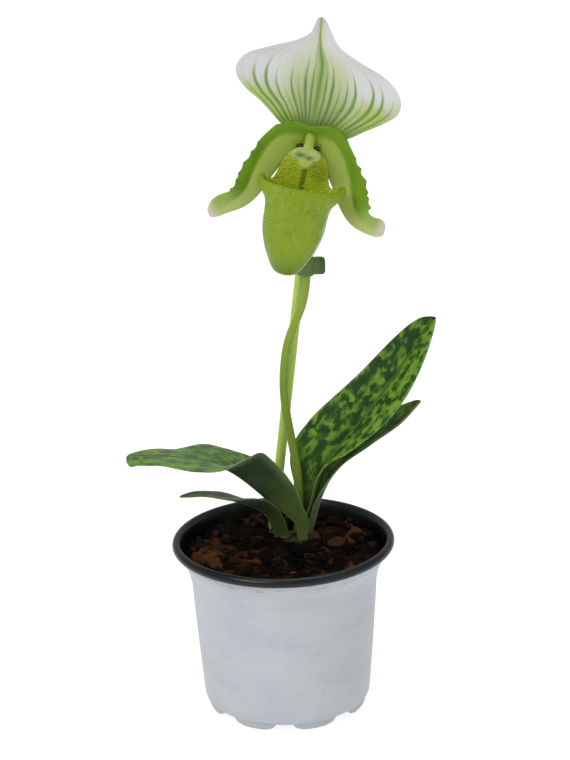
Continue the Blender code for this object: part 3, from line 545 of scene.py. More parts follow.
def stem_paint():
    p = Paint("stem_green", 0.5, Subsurface_Radius=(0.4, 0.6, 0.2), Subsurface_Weight=0.08, Subsurface_Scale=0.001,
              Specular_IOR_Level=0.2)
    turn, t, tag = p.split(p.attribute("place"))
    flat = p.attribute("grain")
    soft = p.noise(p.scaled(flat, (0.5, 0.06, 1)), 1.0, 3.0)
    low = p.mix(soft, rgb(98, 120, 34), rgb(124, 146, 48))
    high = p.mix(soft, rgb(122, 146, 44), rgb(144, 166, 66))
    colour = p.mix(p.smooth(t, 0.30, 0.60), low, high)
    speck = p.smooth(p.noise(flat, 2.6, 2.0), 0.60, 0.70, 0.0, 0.35)
    p.set(Base_Color=p.mix(speck, colour, rgb(92, 84, 36)))
    p.bump(p.noise(p.scaled(flat, (3.0, 0.5, 1)), 1.0), 0.0002, 0.6)
    return p


def plain_paint(name, first, second, scale, roughness, relief=0.0002, stretch=(1, 1, 1), **sockets):
    """Two colours mixed by soft noise, with a fine relief."""
    p = Paint(name, roughness, **{"Specular_IOR_Level": 0.22, **sockets})
    flat = p.scaled(p.attribute("grain"), stretch)
    soft = p.noise(flat, scale, 3.0)
    p.set(Base_Color=p.mix(p.smooth(soft, 0.3, 0.7), first, second))
    p.bump(p.noise(flat, scale * 6, 3.0), relief, 0.6)
    p.set(Roughness=p.smooth(p.noise(flat, scale * 2), 0.3, 0.7, roughness - 0.06, roughness + 0.06))
    return p


def pot_paint():
    """Grey-white matte wall with faint smudges, and a dark glossier lip and inside."""
    p = Paint("pot_two_tone", 0.5, Specular_IOR_Level=0.3)
    zone = p.split(p.attribute("place"))[0]
    flat = p.attribute("grain")
    x, y, z = p.split(flat)
    smudge = p.noise(p.scaled(flat, (0.03, 0.03, 0.05)), 1.0, 4.0, 0.6)
    wall = p.ramp(smudge, [(0.30, rgb(168, 173, 179)), (0.50, rgb(176, 181, 186)), (0.70, rgb(182, 186, 190))])
    scuff = p.smooth(p.noise(p.scaled(flat, (0.10, 0.10, 1.1)), 1.0, 5.0, 0.7), 0.60, 0.74, 0.0, 0.30)
    wall = p.mix(scuff, wall, rgb(134, 138, 144))
    # Blotchy painted shade on the wall just under the lip, where the lip overhangs it.
    under = p.math("MULTIPLY", p.smooth(z, 82.0, 86.0), p.smooth(p.noise(p.scaled(flat, (0.16, 0.16, 0.7)), 1.0,
                                                                         4.0, 0.7), 0.52, 0.68, 0.0, 0.55))
    wall = p.mix(under, wall, rgb(120, 118, 112))
    speck = p.smooth(p.cells(flat, 0.10)[0], 0.055, 0.03, 0.0, 0.7)
    wall = p.mix(speck, wall, rgb(104, 92, 78))
    low = p.smooth(p.math("ADD", z, p.math("MULTIPLY", p.noise(flat, 0.2, 3.0), 8.0)), 14.0, 4.0, 0.0, 0.35)
    wall = p.mix(low, wall, rgb(146, 148, 146))
    dark = p.mix(p.noise(flat, 0.4, 3.0), rgb(7, 9, 12), rgb(14, 16, 21))
    dust = p.smooth(p.noise(flat, 0.9, 4.0, 0.65), 0.55, 0.75, 0.0, 0.22)
    dark = p.mix(dust, dark, rgb(44, 42, 40))
    # The black inside is painted darker still below the lip: painted shade inside the pot.
    dark = p.mix(p.smooth(z, 92.0, 88.0, 0.0, 0.9), dark, rgb(4, 4, 3))
    p.set(Base_Color=p.mix(zone, wall, dark))
    p.set(Roughness=p.math("MULTIPLY_ADD", zone, -0.20, p.smooth(smudge, 0.3, 0.7, 0.46, 0.58)))
    p.bump(p.math("MULTIPLY_ADD", p.noise(flat, 3.0, 2.0), 0.15, p.noise(flat, 0.07, 2.0)), 0.0004, 0.5)
    return p


def bark_paint():
    """Bark chips from almost black to reddish brown, with fibres along each chip."""
    p = Paint("bark_chips", 0.9, Specular_IOR_Level=0.08)
    tone, turn, wet = p.split(p.attribute("place"))
    flat = p.attribute("grain")
    fibres = p.noise(p.scaled(flat, (0.35, 2.6, 2.6)), 1.0, 4.0, 0.65)
    base = p.ramp(tone, [
        (0.0, rgb(5, 3, 1)), (0.35, rgb(13, 9, 4)), (0.60, rgb(32, 20, 10)), (0.82, rgb(70, 43, 22)),
        (1.0, rgb(108, 72, 40)),
    ])
    dark = p.mix(1.0, base, (0.34, 0.30, 0.28, 1), "MULTIPLY")
    colour = p.mix(p.smooth(fibres, 0.36, 0.66), dark, base)
    crumb = p.smooth(p.noise(flat, 1.3, 4.0, 0.7), 0.60, 0.72, 0.0, 0.5)
    p.set(Base_Color=p.mix(crumb, colour, rgb(20, 13, 9)))
    p.bump(p.math("ADD", fibres, p.noise(flat, 3.0, 3.0)), 0.0008, 0.9)
    return p


# Pot and bark

def build_pot(paint):
    """The thin pot: flared mouth, rolled lip, faint step, and feet parted by notches in the base ring."""
    roll = 2.5
    lip = [(60 - roll + roll * math.cos(math.radians(a)), 95 - roll + roll * math.sin(math.radians(a)), 1)
           for a in np.linspace(115, -112, 20)]
    outer = [(56.2, 89.6, 1), (56.0, 89.3, 0), (55.6, 87.8, 0), (54.9, 85.6, 0), (53.7, 83.4, 0), (52.6, 81.5, 0),
             (51.8, 79.2, 0), (51.2, 76.6, 0), (50.95, 75.2, 0), (50.75, 74.7, 0), (50.3, 74.4, 0),
             (50.2, 73.8, 0), (49.1, 56, 0), (48.3, 45, 0), (47.5, 34, 0), (46.6, 23, 0), (45.8, 13, 0),
             (45.3, 7.5, 0), (45.1, 6.2, 0), (44.7, 5.2, 0), (44.1, 4.5, 0), (43.6, 4.2, 0), (43.45, 3.9, 0),
             (43.4, 3.0, 0), (43.3, 1.4, 0), (43.0, 0.4, 0), (42.5, 0, 0),
             (41, 0, 0), (38.8, 0, 0), (38.2, 0.3, 0), (37.9, 1.4, 0), (37.6, 4.0, 0), (36.9, 4.4, 0),
             (30, 4.5, 0), (20, 4.5, 0), (10, 4.5, 0), (2, 4.5, 0)]
    inner = [(2, 5.6, 1), (20, 5.6, 1), (40, 5.6, 1), (41.8, 5.8, 1), (43.6, 7.4, 1), (44.0, 8.4, 1),
             (44.7, 13, 1), (46.4, 34, 1), (48, 56, 1), (49.1, 74.4, 1), (50.1, 77, 1), (51.5, 81.5, 1),
             (53.8, 86, 1), (54.9, 89.5, 1), (55.2, 92.0, 1)]
    profile = np.array(lip + outer + inner)
    steps = 360
    turn = np.arange(steps) * math.tau / steps
    eighth = math.tau / 8
    place = (turn - math.radians(-3) + math.pi / 2 + eighth / 2) % eighth - eighth / 2
    far = np.clip((41.0 * (eighth / 2 - np.abs(place)) - 1.0) / 10.4, 0, 1)
    height = 4.0 * (1 - np.sqrt(1 - far**2))
    rings = []
    for r, z, _ in profile:
        wave = 1 + 0.0012 * np.sin(2 * turn + 0.7) * step(10, 40, z) * step(94, 80, z)
        level = np.maximum(z, height * min(1.0, max(0.0, (r - 37.0) / 1.0))) if z < 4.2 else np.full(steps, z)
        rings.append(np.stack([r * wave * np.cos(turn), r * wave * np.sin(turn), level], axis=-1))
    rings = np.array(rings)
    faces = ring_faces(len(profile), steps)
    first, last = 0, (len(profile) - 1) * steps
    faces += [[last + k, last + (k + 1) % steps, first + (k + 1) % steps, first + k] for k in range(steps)]
    zone = np.repeat(profile[:, 2], steps)
    points = rings.reshape(-1, 3)
    make("pot_shell", points * MM, faces, paint, ("pot",), "pot_plastic",
         place=np.stack([zone, zone * 0, zone * 0], axis=-1), grain=points)


def chip(solid, rng, centre, size, tilt, tone):
    """A rough chip of bark: a small grid box with pushed corners and a broken outline."""
    nx, ny, nz = 5, 3, 2
    grid = {}
    points, faces = [], []

    def corner(i, j, k):
        if (i, j, k) not in grid:
            grid[i, j, k] = len(points)
            p = np.array((i / nx - 0.5, j / ny - 0.5, k / nz - 0.5))
            narrow = 1 - 0.9 * abs(p[0]) ** 2.5 * 2.5
            p = p * (1, max(0.35, narrow), 1 - 0.5 * abs(p[0]))
            points.append(p + rng.uniform(-0.07, 0.07, 3) * (0.8, 1.2, 1.3))
        return grid[i, j, k]

    for a, b, c, counts in ((0, 1, 2, (nx, ny, nz)), (1, 2, 0, (ny, nz, nx)), (0, 2, 1, (nx, nz, ny))):
        for end in (0, counts[2]):
            for u in range(counts[0]):
                for v in range(counts[1]):
                    four = []
                    for du, dv in ((0, 0), (1, 0), (1, 1), (0, 1)):
                        key = [0, 0, 0]
                        key[a], key[b], key[c] = u + du, v + dv, end
                        four.append(corner(*key))
                    faces.append(four)
    points = np.array(points) * size
    spin, lean, roll = tilt
    cz, sz, cx, sx, cy, sy = (f(a) for a in (spin, lean, roll) for f in (math.cos, math.sin))
    rotate = (np.array([[cz, -sz, 0], [sz, cz, 0], [0, 0, 1]]) @ np.array([[1, 0, 0], [0, cx, -sx], [0, sx, cx]])
              @ np.array([[cy, 0, sy], [0, 1, 0], [-sy, 0, cy]]))
    solid.add((points @ rotate.T + centre) * MM, faces, (tone, rng.uniform(), 0), points + rng.uniform(0, 90, 3))


def soil_height(radius):
    return 85.6 + 1.9 * max(0.0, 1 - radius / 53)


def build_bark(paint):
    """The bark mix: a rough bed, and chips that lie on and in it."""
    rng = np.random.default_rng(5)
    solid = Solid()
    steps, rings = 96, 26
    points, faces = [], []
    for i in range(rings + 1):
        r = 53.0 * (1 - i / rings)
        for k in range(steps):
            a = math.tau * k / steps
            x, y = r * math.cos(a), r * math.sin(a)
            z = soil_height(r) - 2.4 + 1.8 * float(step(26, 48, r)) + 1.5 * noise.fractal(Vector((x * 0.12, y * 0.12, 3.0)), 0.8, 2.0, 4)
            points.append((x, y, min(z, 89.0)))
    low = len(points)
    for r, z in ((51.0, 81.5), (48.9, 74.0), (47.5, 56.0), (45.9, 34.0), (44.1, 13.0), (41.2, 6.2)):
        points += [(r * math.cos(math.tau * k / steps), r * math.sin(math.tau * k / steps), z) for k in range(steps)]
    faces += ring_faces(rings + 1, steps)
    faces += [[k, low + k, low + (k + 1) % steps, (k + 1) % steps] for k in range(steps)]
    faces += ring_faces(6, steps, low)
    faces.append([low + 5 * steps + k for k in range(steps)])
    faces.append([rings * steps + k for k in range(steps)][::-1])
    solid.add(np.array(points) * MM, faces, (0.10, 0, 0), np.array(points))
    crown = np.array((6.5, 18.5))
    for n in range(560):
        long = rng.uniform(6.5, 15.5) if n % 5 < 3 else rng.uniform(2.5, 6.0)
        size = np.array((long, long * rng.uniform(0.45, 0.75), long * rng.uniform(0.22, 0.42)))
        a, share = rng.uniform(0, math.tau), math.sqrt(rng.uniform(0, 1))
        r = min(53.0 * share, 51.3 - 0.50 * long)
        at = np.array((r * math.cos(a), r * math.sin(a)))
        near = np.linalg.norm(at - crown)
        if near < 9 or (near < 15 and long > 7):
            continue
        deep = rng.uniform(-2.8, 1.4) + 3.0 * float(step(26, 46, r))
        z = soil_height(r) + deep - 1.4 * noise.noise(Vector((at[0] * 0.06, at[1] * 0.06, 9.0)))
        # The front-left patch of lighter, browner chips is partly their own reddish colour and partly painted light;
        # chips that sit lower come out darker, painted shade between the chips.
        brown = 0.40 * math.exp(-((at[0] + 34) ** 2 + (at[1] + 12) ** 2) / 520) + 0.26 * (rng.uniform() > 0.84)
        tone = float(np.clip(rng.normal(0.36, 0.17) + 0.05 * deep + brown, 0.02, 1.0))
        tilt = (rng.uniform(0, math.tau), rng.normal(0, 0.35), rng.normal(0, 0.30))
        chip(solid, rng, np.array((*at, min(z, 91.5 - 0.45 * long))), size, tilt, tone)
    solid.build("bark_mix", paint, replaces=("substrate",), slot="bark", sharp=True)


def build_crown(paint):
    """The rootstock: a lumpy crown wrapped in old sheaths, with thick roots."""
    solid = Solid()
    centre = np.array((6.5, 18.5, 82.0))
    steps, rings = 64, 28
    points = []
    for i in range(rings + 1):
        lift = math.pi * i / rings
        for k in range(steps):
            a = math.tau * k / steps
            z = math.copysign(abs(math.cos(lift)) ** 0.6, math.cos(lift))
            x, y = 16 * math.sin(lift) * math.cos(a), 9.5 * math.sin(lift) * math.sin(a)
            turn = math.radians(20)
            fold = 1 + 0.05 * math.sin(5 * a + 2.0 * z) + 0.03 * math.sin(13 * a)
            points.append((centre[0] + fold * (x * math.cos(turn) - y * math.sin(turn)),
                           centre[1] + fold * (x * math.sin(turn) + y * math.cos(turn)), centre[2] + 7 * z))
    faces = ring_faces(rings + 1, steps)
    solid.add(np.array(points) * MM, faces, (0, 0, 0), np.array(points))
    for i in range(5):
        a = math.radians(10) + math.tau * i / 5
        out, down = np.array((math.cos(a), math.sin(a), 0)), np.array((0, 0, -1.0))
        bend = np.array((-out[1], out[0], 0))
        base = centre + 2 * down
        route = [base + 3 * out, base + 13 * out + 11 * down, base + 17 * out + 6 * bend + 27 * down,
                 base + 13 * out + 11 * bend + 48 * down]
        path = smooth_path(np.array(route) * MM, 40)
        tube_solid(solid, path, 2.2 * MM * np.linspace(1, 0.55, 40), 16)
    solid.build("crown_and_roots", paint, replaces=("rootstock",), slot="root")


# Leaves

def wave(t, half, reach=1.1 * MM):
    phase = 0.6 if half else 0.0
    return 0 * t, reach * np.sin(math.tau * (2.6 * t + phase)) * np.minimum(1.0, 3 * t) * (1 - t)


LEAVES = {
    "leaf_right_large": dict(
        spine=[(12.6, 20.7, 89.5), (14.8, 20.5, 98), (18.5, 20.5, 108), (24, 21.5, 127), (32, 23.5, 136),
               (40, 25.5, 145.5), (51, 28, 158), (60, 29.5, 169.5), (71, 31.5, 186), (79.5, 32, 199.2),
               (85.4, 31, 206.6)],
        side=(0.24, -0.97, 0), face=(-0.7, -0.2, 0.7),
        halves=[[(0, 5.5), (0.15, 8), (0.35, 14.5), (0.55, 19), (0.7, 19), (0.82, 16), (0.92, 11), (0.97, 6.8),
                 (1, 1)],
                [(0, 6), (0.15, 12.5), (0.28, 20.5), (0.38, 22.5), (0.5, 20.5), (0.62, 18), (0.75, 14.8),
                 (0.88, 10.5), (0.96, 6), (1, 1)]],
        rises=[[(0, 42), (0.2, 36), (0.4, 2), (0.6, -10), (1, -10)],
               [(0, 45), (0.15, 58), (0.3, 68), (0.5, 76), (0.7, 74), (1, 70)]],
        bow=0.12),
    "leaf_right_small": dict(
        spine=[(15.2, 21, 88.8), (16.8, 20.7, 94), (18.8, 20.6, 101), (21.4, 20.8, 109), (26.8, 22, 119),
               (35.3, 23, 128.5), (50, 25, 138.5), (65, 27, 147.5), (77, 29, 160)],
        side=(0.1, -0.99, 0), face=(0, 0, 1),
        halves=[[(0, 5), (0.25, 6.5), (0.45, 9.5), (0.62, 13), (0.74, 13), (0.88, 9), (0.97, 4), (1, 1)],
                [(0, 5), (0.25, 8), (0.5, 14), (0.7, 14), (0.88, 9.5), (0.97, 4), (1, 1)]],
        rises=[[(0, 46), (0.25, 32), (0.45, 16), (0.7, 20), (1, 20)], [(0, 50), (0.4, 52), (0.7, 42), (1, 32)]],
        bow=0.12, margin=wave),
    "leaf_left_large": dict(
        spine=[(8.6, 12, 89.5), (8, 11, 95), (6.2, 9.2, 99.8), (1.5, 5.5, 105.7), (-4, 1.6, 111.8),
               (-9.2, -2.2, 117.8), (-14.3, -5.5, 123.9), (-19.5, -8, 129.6), (-24.1, -9.7, 134.2),
               (-29.2, -10.7, 138.4), (-34.9, -11.2, 141.8), (-41.2, -11.3, 144), (-48, -11, 145.2),
               (-56, -10.2, 146), (-64, -8.9, 146.4), (-73.2, -6.5, 145.9), (-82.1, -4.4, 145.2)],
        side=(0.45, -0.89, 0), face=(0, 0, 1),
        halves=[[(0, 5), (0.12, 9), (0.25, 16), (0.4, 18.5), (0.5, 18.5), (0.65, 17), (0.8, 12.5), (0.92, 9.4),
                 (0.965, 8.8), (0.99, 4.8), (1, 2)],
                [(0, 4.5), (0.12, 8), (0.25, 14), (0.4, 18), (0.5, 18.5), (0.65, 18), (0.8, 12.6), (0.92, 8.6),
                 (0.98, 4), (1, 2)]],
        rises=[[(0, 70), (0.2, 66), (0.3, 70), (0.38, 86), (0.44, 88), (0.5, 64), (0.54, 34), (0.59, 2),
                (0.68, -7), (0.9, -8), (1, -20)],
               [(0, 15), (0.12, 28), (0.25, 50), (0.38, 58), (0.46, 46), (0.52, 36), (0.6, 23), (0.7, 13),
                (0.82, 2), (1, 2)]],
        bow=0.1, margin=wave),
    "leaf_left_small": dict(
        spine=[(-3.4, 13.5, 88.9), (-4.8, 10.9, 93.8), (-6.4, 7.5, 100.3), (-8.9, 4, 106.4), (-13.1, 0, 111.7),
               (-18.3, -3.5, 115.8), (-23.6, -6.2, 118.6), (-33.5, -9.8, 122.3), (-43.4, -13.2, 125.4),
               (-54.2, -16.5, 126)],
        side=(0.3, -0.95, 0), face=(0, 0, 1),
        halves=[[(0, 7.5), (0.2, 7.5), (0.32, 9), (0.5, 12), (0.7, 10.5), (0.9, 5.5), (1, 1)],
                [(0, 8), (0.2, 9), (0.45, 12), (0.7, 10.5), (0.9, 5.5), (1, 1)]],
        rises=[[(0, 70), (0.25, 60), (0.5, 32), (0.7, 16), (1, 10)],
               [(0, 60), (0.18, 38), (0.3, 8), (0.45, -3), (0.7, -1), (1, -2)]],
        bow=0.1, margin=wave),
}


def build_leaves():
    # leaf_right_small is lifted by its bias and calmed towards a pale grey-green: painted sheen of its grazing
    # reflection.
    looks = {"leaf_right_large": (0.0, 1.0, -0.015), "leaf_right_small": (4.0, 1.0, 0.03, 0.25, 0.40, (92, 122, 60)),
             "leaf_left_large": (9.0, 1.0, 0.015, 0.2, 0.42, (86, 112, 64)),
             "leaf_left_small": (14.0, 0.9, 0.0, 0.1, 0.6, (60, 82, 46))}
    for name, shape in LEAVES.items():
        mid, up, s, t = blade(rows=130, columns=45, soften=0.07, **shape)
        mid, up, t = rooted(mid, up, t, 6, (0, 0, -4 * MM))
        groove = -0.35 * MM * hump(s, 0, 0.035)[None, :] * np.ones((len(t), 1))
        keel = 0.75 * MM * hump(s, 0, 0.05)[None, :] * (1 - 0.6 * t)[:, None]
        swell = 0.25 * MM * (np.abs(np.sin(s * 9.4)) ** 2)[None, :] * step(0.0, 0.3, t)[:, None]
        sheet_solid(name + "_blade", mid, 1.0 * MM, up, s, t, leaf_paint(name + "_skin", *looks[name]),
                    front=groove + swell * 0.5, back=keel, replaces=(name,), slot="leaf")


# Flower

def flower_blade(spine, halves, rises, rows, columns, side=None, **options):
    """A blade in the flower's own frame, which faces the viewer."""
    points = in_flower(spine) / MM
    turn, lift = math.cos(FLOWER_TURN), math.sin(FLOWER_TURN)
    right = np.array((turn, 0, -lift))
    return blade(points, right if side is None else side, (0, -1, 0), halves, rises, rows, columns, **options)


def build_sepals():
    halves = [[(0, 18), (0.036, 22), (0.09, 26.6), (0.18, 34.6), (0.27, 40.6), (0.35, 42.9), (0.44, 42.3),
               (0.537, 38.2), (0.634, 30), (0.71, 19.6), (0.77, 12.2), (0.826, 8.6), (0.894, 6), (0.96, 3.4),
               (1, 1.2)],
              [(0, 12), (0.036, 15), (0.084, 19), (0.21, 28.7), (0.306, 37.6), (0.402, 43.3), (0.5, 44.2),
               (0.585, 41.3), (0.653, 36), (0.72, 26), (0.788, 13.6), (0.855, 5.9), (0.93, 3.4), (0.97, 2.6),
               (1, 1.2)]]
    rises = [[(0, -4), (0.12, 0), (0.35, 12), (0.6, 8), (1, 20)]] * 2
    mid, up, s, t = flower_blade(
        [(0, 1.2, -2.9), (0, 14, -4.2), (0, 28, -4.2), (-0.6, 38, -2.5), (-3.0, 46, -0.5), (-4.7, 53, 0.5),
         (-5.6, 62, 0)],
        halves, rises, 150, 121, bow=-0.10, level=True, soften=0.03)
    ribs = np.abs(np.sin(s * 26))[None, :] * step(0.62, 0.30, t)[:, None] * step(0.0, 0.1, t)[:, None]
    keel = 0.5 * MM * hump(s, 0, 0.02)[None, :] * np.ones((len(t), 1))
    sheet_solid("dorsal_sepal_hood", mid, 0.8 * MM, up, s, t, sepal_paint(), front=-0.12 * MM * ribs,
                back=keel + 0.10 * MM * ribs, replaces=("dorsal_sepal",), slot="sepal")
    green = plain_paint("synsepal_green", rgb(120, 148, 66), rgb(150, 172, 92), 0.12, 0.45, 0.0003, (3, 3, 0.6),
                        Subsurface_Weight=0.1, Subsurface_Scale=0.001)
    mid, up, s, t = flower_blade(
        [(0, 0.6, 0.0), (0, -3.7, 0.0), (0, -10, -0.9), (0, -18, -1.6), (-0.5, -30, -2.4), (-1, -42, -2.6), (-1, -50, -1.5)],
        [[(0, 4), (0.08, 7.4), (0.2, 8.6), (0.5, 9.6), (0.75, 9), (0.92, 5), (1, 0.5)]] * 2,
        [[(0, -4), (0.2, -10), (1, -15)]] * 2, 80, 41, bow=0.10)
    sheet_solid("synsepal_blade", mid, 0.8 * MM, up, s, t, green, front=-0.1 * MM * np.abs(np.sin(s * 12))[None, :]
                * np.ones((80, 1)), replaces=("synsepal",), slot="petal")


def teeth(t, half):
    if half:
        return 0 * t, 0.5 * MM * np.sin(math.tau * 2 * t)
    uneven = 11 * t + 0.25 * np.sin(9 * t + 1) + 0.12 * np.sin(31 * t)
    tooth = np.abs(np.sin(math.pi * uneven)) ** 2 * (0.75 + 0.35 * np.sin(17 * t))
    return 0.17 * tooth * step(0.80, 0.76, t) * step(0.05, 0.14, t), 0.8 * MM * np.sin(math.tau * 3 * t)


def build_petals(paint, dark):
    right = np.array((math.cos(FLOWER_TURN), 0, -math.sin(FLOWER_TURN)))
    above = np.array((math.sin(FLOWER_TURN), 0, math.cos(FLOWER_TURN)))
    inner = [(0, 6.5), (0.06, 8.4), (0.12, 10.4), (0.18, 11.3), (0.27, 12.2), (0.34, 12.4), (0.42, 11.8), (0.52, 10.6), (0.64, 8.4),
             (0.76, 6.4), (0.88, 4), (0.96, 2.8), (1, 1.4)]
    rises = [[(0, 10), (0.5, 25), (1, 10)], [(0, 0), (1, 8)]]
    rng = np.random.default_rng(8)
    for name, sign, route, outer in (
        ("petal_left", -1,
         [(-0.6, 1.7, 0), (-3.4, 2.5, 0), (-8, 2.8, 0.4), (-14.3, 1.0, 1.6), (-19.5, -4, 2.4), (-23.2, -11, 2.6),
          (-26, -20.5, 2.6), (-27.8, -29.5, 3.4), (-31.5, -36, 5), (-37.5, -41.5, 7), (-44, -47, 9)],
         [(0, 4.4), (0.15, 4.6), (0.3, 4.6), (0.5, 5.4), (0.68, 6.8), (0.76, 5.8), (0.88, 6.6), (0.95, 5.6),
          (1, 2.6)]),
        ("petal_right", 1,
         [(0.6, 1.8, 0.2), (3.4, 2.8, 0.2), (7.5, 3.3, 0.4), (13, 1.8, 1.6), (17.8, -3.8, 2.4), (22.2, -11, 2.6),
          (25.4, -19, 2.6), (27.8, -27.5, 3.4), (32, -34.8, 5.4), (38.2, -39, 7.6), (46, -41, 9)],
         [(0, 4.4), (0.15, 4.6), (0.35, 5.0), (0.5, 6.8), (0.62, 8.0), (0.74, 8.2), (0.79, 6.2), (0.86, 5.6),
          (0.93, 6.6), (0.975, 5.6), (1, 2.6)]),
    ):
        mid, up, s, t = flower_blade(route, [outer, inner], rises, 170, 31, unit(right * sign + above), bow=0.1,
                                     margin=teeth, soften=0.03)
        solid = Solid()
        ribs = -0.10 * MM * np.abs(np.sin(s * 11))[None, :] * np.ones((len(t), 1))
        made = sheet_solid(name + "_blade", mid, 0.8 * MM, up, s, t, paint, front=ribs, back=-ribs, solid=solid)
        made.build(name + "_blade", paint, replaces=(name,), slot="petal")
        warts = Solid()
        reach, _ = teeth(t, 0)
        peaks = [i for i in range(2, len(t) - 2) if reach[i] > max(reach[i - 1], reach[i + 1], 0.03)]
        for i in peaks:
            root = mid[i, -1] - 0.30 * MM * unit(mid[i, -1] - mid[i, -4])
            wart(warts, root, (0.36 + 0.14 * rng.uniform()) * MM)
            for _ in range(3):
                hair(warts, root, unit(mid[i, -1] - mid[i, -4]) + 0.5 * rng.normal(size=3), 0.8 * MM, 0.04 * MM)
        warts.build(name + "_warts", dark, slot="petal")


def wart(solid, centre, radius, squash=(1, 1, 1), tag=0):
    """A small rough bead."""
    steps, rings = 12, 8
    points = []
    for i in range(rings + 1):
        lift = math.pi * i / rings
        for k in range(steps):
            a = math.tau * k / steps
            points.append((math.sin(lift) * math.cos(a), math.sin(lift) * math.sin(a), math.cos(lift)))
    points = np.array(points)
    rough = 1 + 0.12 * np.sin(points[:, :1] * 5 + centre[0] * 900) * np.cos(points[:, 1:2] * 4)
    solid.add(centre + points * rough * radius * np.array(squash), ring_faces(rings + 1, steps), (0, 0, tag))


POUCH_FOOT = -69.5
POUCH_WIDTH = [(-69.5, 0), (-68.3, 4.4), (-66, 7.0), (-61, 10.0), (-55, 12.9), (-46, 15.4), (-36, 16), (-31, 17.0),
               (-27.5, 19.4), (-24, 22.0), (-20, 23.2), (-8, 23), (-3, 19)]
POUCH_CENTRE = [(-69.5, 15), (-60, 14.5), (-45, 13.5), (-25, 13), (-12, 9.5), (-3, 6)]
POUCH_FRONT = [(-69.5, 0), (-68.3, 3.2), (-66, 5.6), (-61, 8.6), (-54, 11), (-44, 12.6), (-34, 13), (-22, 13.5),
               (-8, 13)]
POUCH_BACK = [(-69.5, 0), (-68.3, 3), (-66, 5.2), (-61, 8.2), (-54, 10.4), (-44, 11.6), (-30, 11.2), (-20, 9.6),
              (-12, 6.8), (-3, 4)]
POUCH_RIM = [(0, -4), (13, -5), (25.7, -9.5), (38.6, -21.5), (51.4, -22.5), (64, -21), (77, -19.2), (90, -19.6),
             (103, -21), (130, -22), (180, -22.6)]
POUCH_LEAN = [(-69.5, -0.8), (-60, -0.7), (-42, -0.7), (-26, -0.5), (-10, 0)]


def build_pouch(paint):
    """The slipper: a thin cup, open at the back of its top, with a rolled lip and an ear at each side."""
    around, up = 224, 110
    turn = np.arange(around) * math.tau / around
    top = keyed(POUCH_RIM, np.abs((np.degrees(turn) + 180) % 360 - 180))
    share = np.linspace(0, 1, up + 1)[1:, None]
    u = POUCH_FOOT + (top[None, :] - POUCH_FOOT) * share**1.25
    front = (np.cos(turn) < 0)[None, :]
    depth = np.where(front, keyed(POUCH_FRONT, u), keyed(POUCH_BACK, u))
    across = keyed(POUCH_LEAN, u) + keyed(POUCH_WIDTH, u) * np.sin(turn)
    local = np.stack([across, u, keyed(POUCH_CENTRE, u) - depth * np.cos(turn)], axis=-1)
    inward = np.stack([keyed(POUCH_LEAN, u) - across, 0 * u * across, depth * np.cos(turn)], axis=-1)
    fold = int(0.925 * up)
    start, wall = local[fold], unit(local[fold] - local[fold - 1])
    radius = np.linalg.norm(local[-1] - start, axis=-1)[:, None] * 0.92
    inward = unit(inward[fold])
    open_side = step(0.6, 0.0, np.cos(turn))[:, None]
    for i in range(fold, up):
        lean = 1.9 * (i - fold) / (up - 1 - fold)
        folded = start + radius * (wall * math.sin(lean) + inward * (1 - math.cos(lean)) * 0.8)
        local[i] = local[i] * (1 - open_side) + folded * open_side
    mid = in_flower(local)
    around_step = (np.roll(mid, -1, axis=1) - np.roll(mid, 1, axis=1)) / 2
    normal = unit(np.cross(around_step, np.gradient(mid, axis=0)))
    axis = in_flower(np.array((0, -45, 13.5)))
    if (normal * (mid - axis))[: up // 2].sum() < 0:
        normal = -normal
    frontness = np.clip(-np.cos(turn), 0, 1)[None, :]
    lip = hump(share, 1.0, 0.035) * 0.55 * MM * frontness
    veins = 0.10 * MM * np.sin(turn * 13)[None, :] * step(0.1, 0.4, share) * step(0.95, 0.7, share)
    keel = 0.35 * MM * hump(turn, math.pi - 0.25, 0.10)[None, :] * hump(share, 0.22, 0.16)
    veins = veins - keel
    half = 0.5 * MM * np.sqrt(np.clip((1 - share) * 60, 0, 1))
    groove = step(1.75, 0.95, np.abs(local[..., 0] - 0.4)) * step(-28.5, -27, u) * step(-15.5, -17, u) * (np.cos(turn) > 0)[None, :]
    outside = mid + normal * (half + lip + veins)[..., None]
    inside = mid - normal * (half + 0.35 * lip - 0.5 * MM * groove)[..., None]
    bottom = in_flower(np.array((0.6, POUCH_FOOT, 15.0)))
    rings = np.concatenate([outside, inside[::-1][1:]])
    tags = np.concatenate([np.zeros(up), np.ones(up - 1)])
    heights = np.concatenate([share[:, 0], share[::-1, 0][1:]])
    place = np.stack(np.broadcast_arrays(turn[None, :], heights[:, None], tags[:, None]), axis=-1)
    # The groove mask also goes to the paint, which paints shade into it.
    spot = np.concatenate([groove * 0, groove[::-1][1:]])
    grain = np.concatenate([local, local[::-1][1:]])[..., [0, 2, 1]]
    count = len(rings) * around
    faces = ring_faces(len(rings), around)
    faces += [[count, k, (k + 1) % around] for k in range(around)]
    last = count - around
    faces += [[count + 1, last + k, last + (k + 1) % around] for k in range(around)]
    down = in_flower(np.array((0.6, POUCH_FOOT - 0.5, 15.0)))
    ends = np.array([down, bottom + (0, 0, 0.5 * MM)])
    make("pouch_slipper", np.vstack([rings.reshape(-1, 3), ends]), faces, paint, ("pouch",), "pouch",
         place=np.vstack([place.reshape(-1, 3), [[0, 0, 0], [0, 0, 1]]]),
         grain=np.vstack([grain.reshape(-1, 3), [[0.6, 15, POUCH_FOOT], [0.6, 15, POUCH_FOOT]]]),
         groove=np.vstack([np.repeat(spot.reshape(-1, 1), 3, axis=1), [[0, 0, 0], [0, 0, 0]]]))


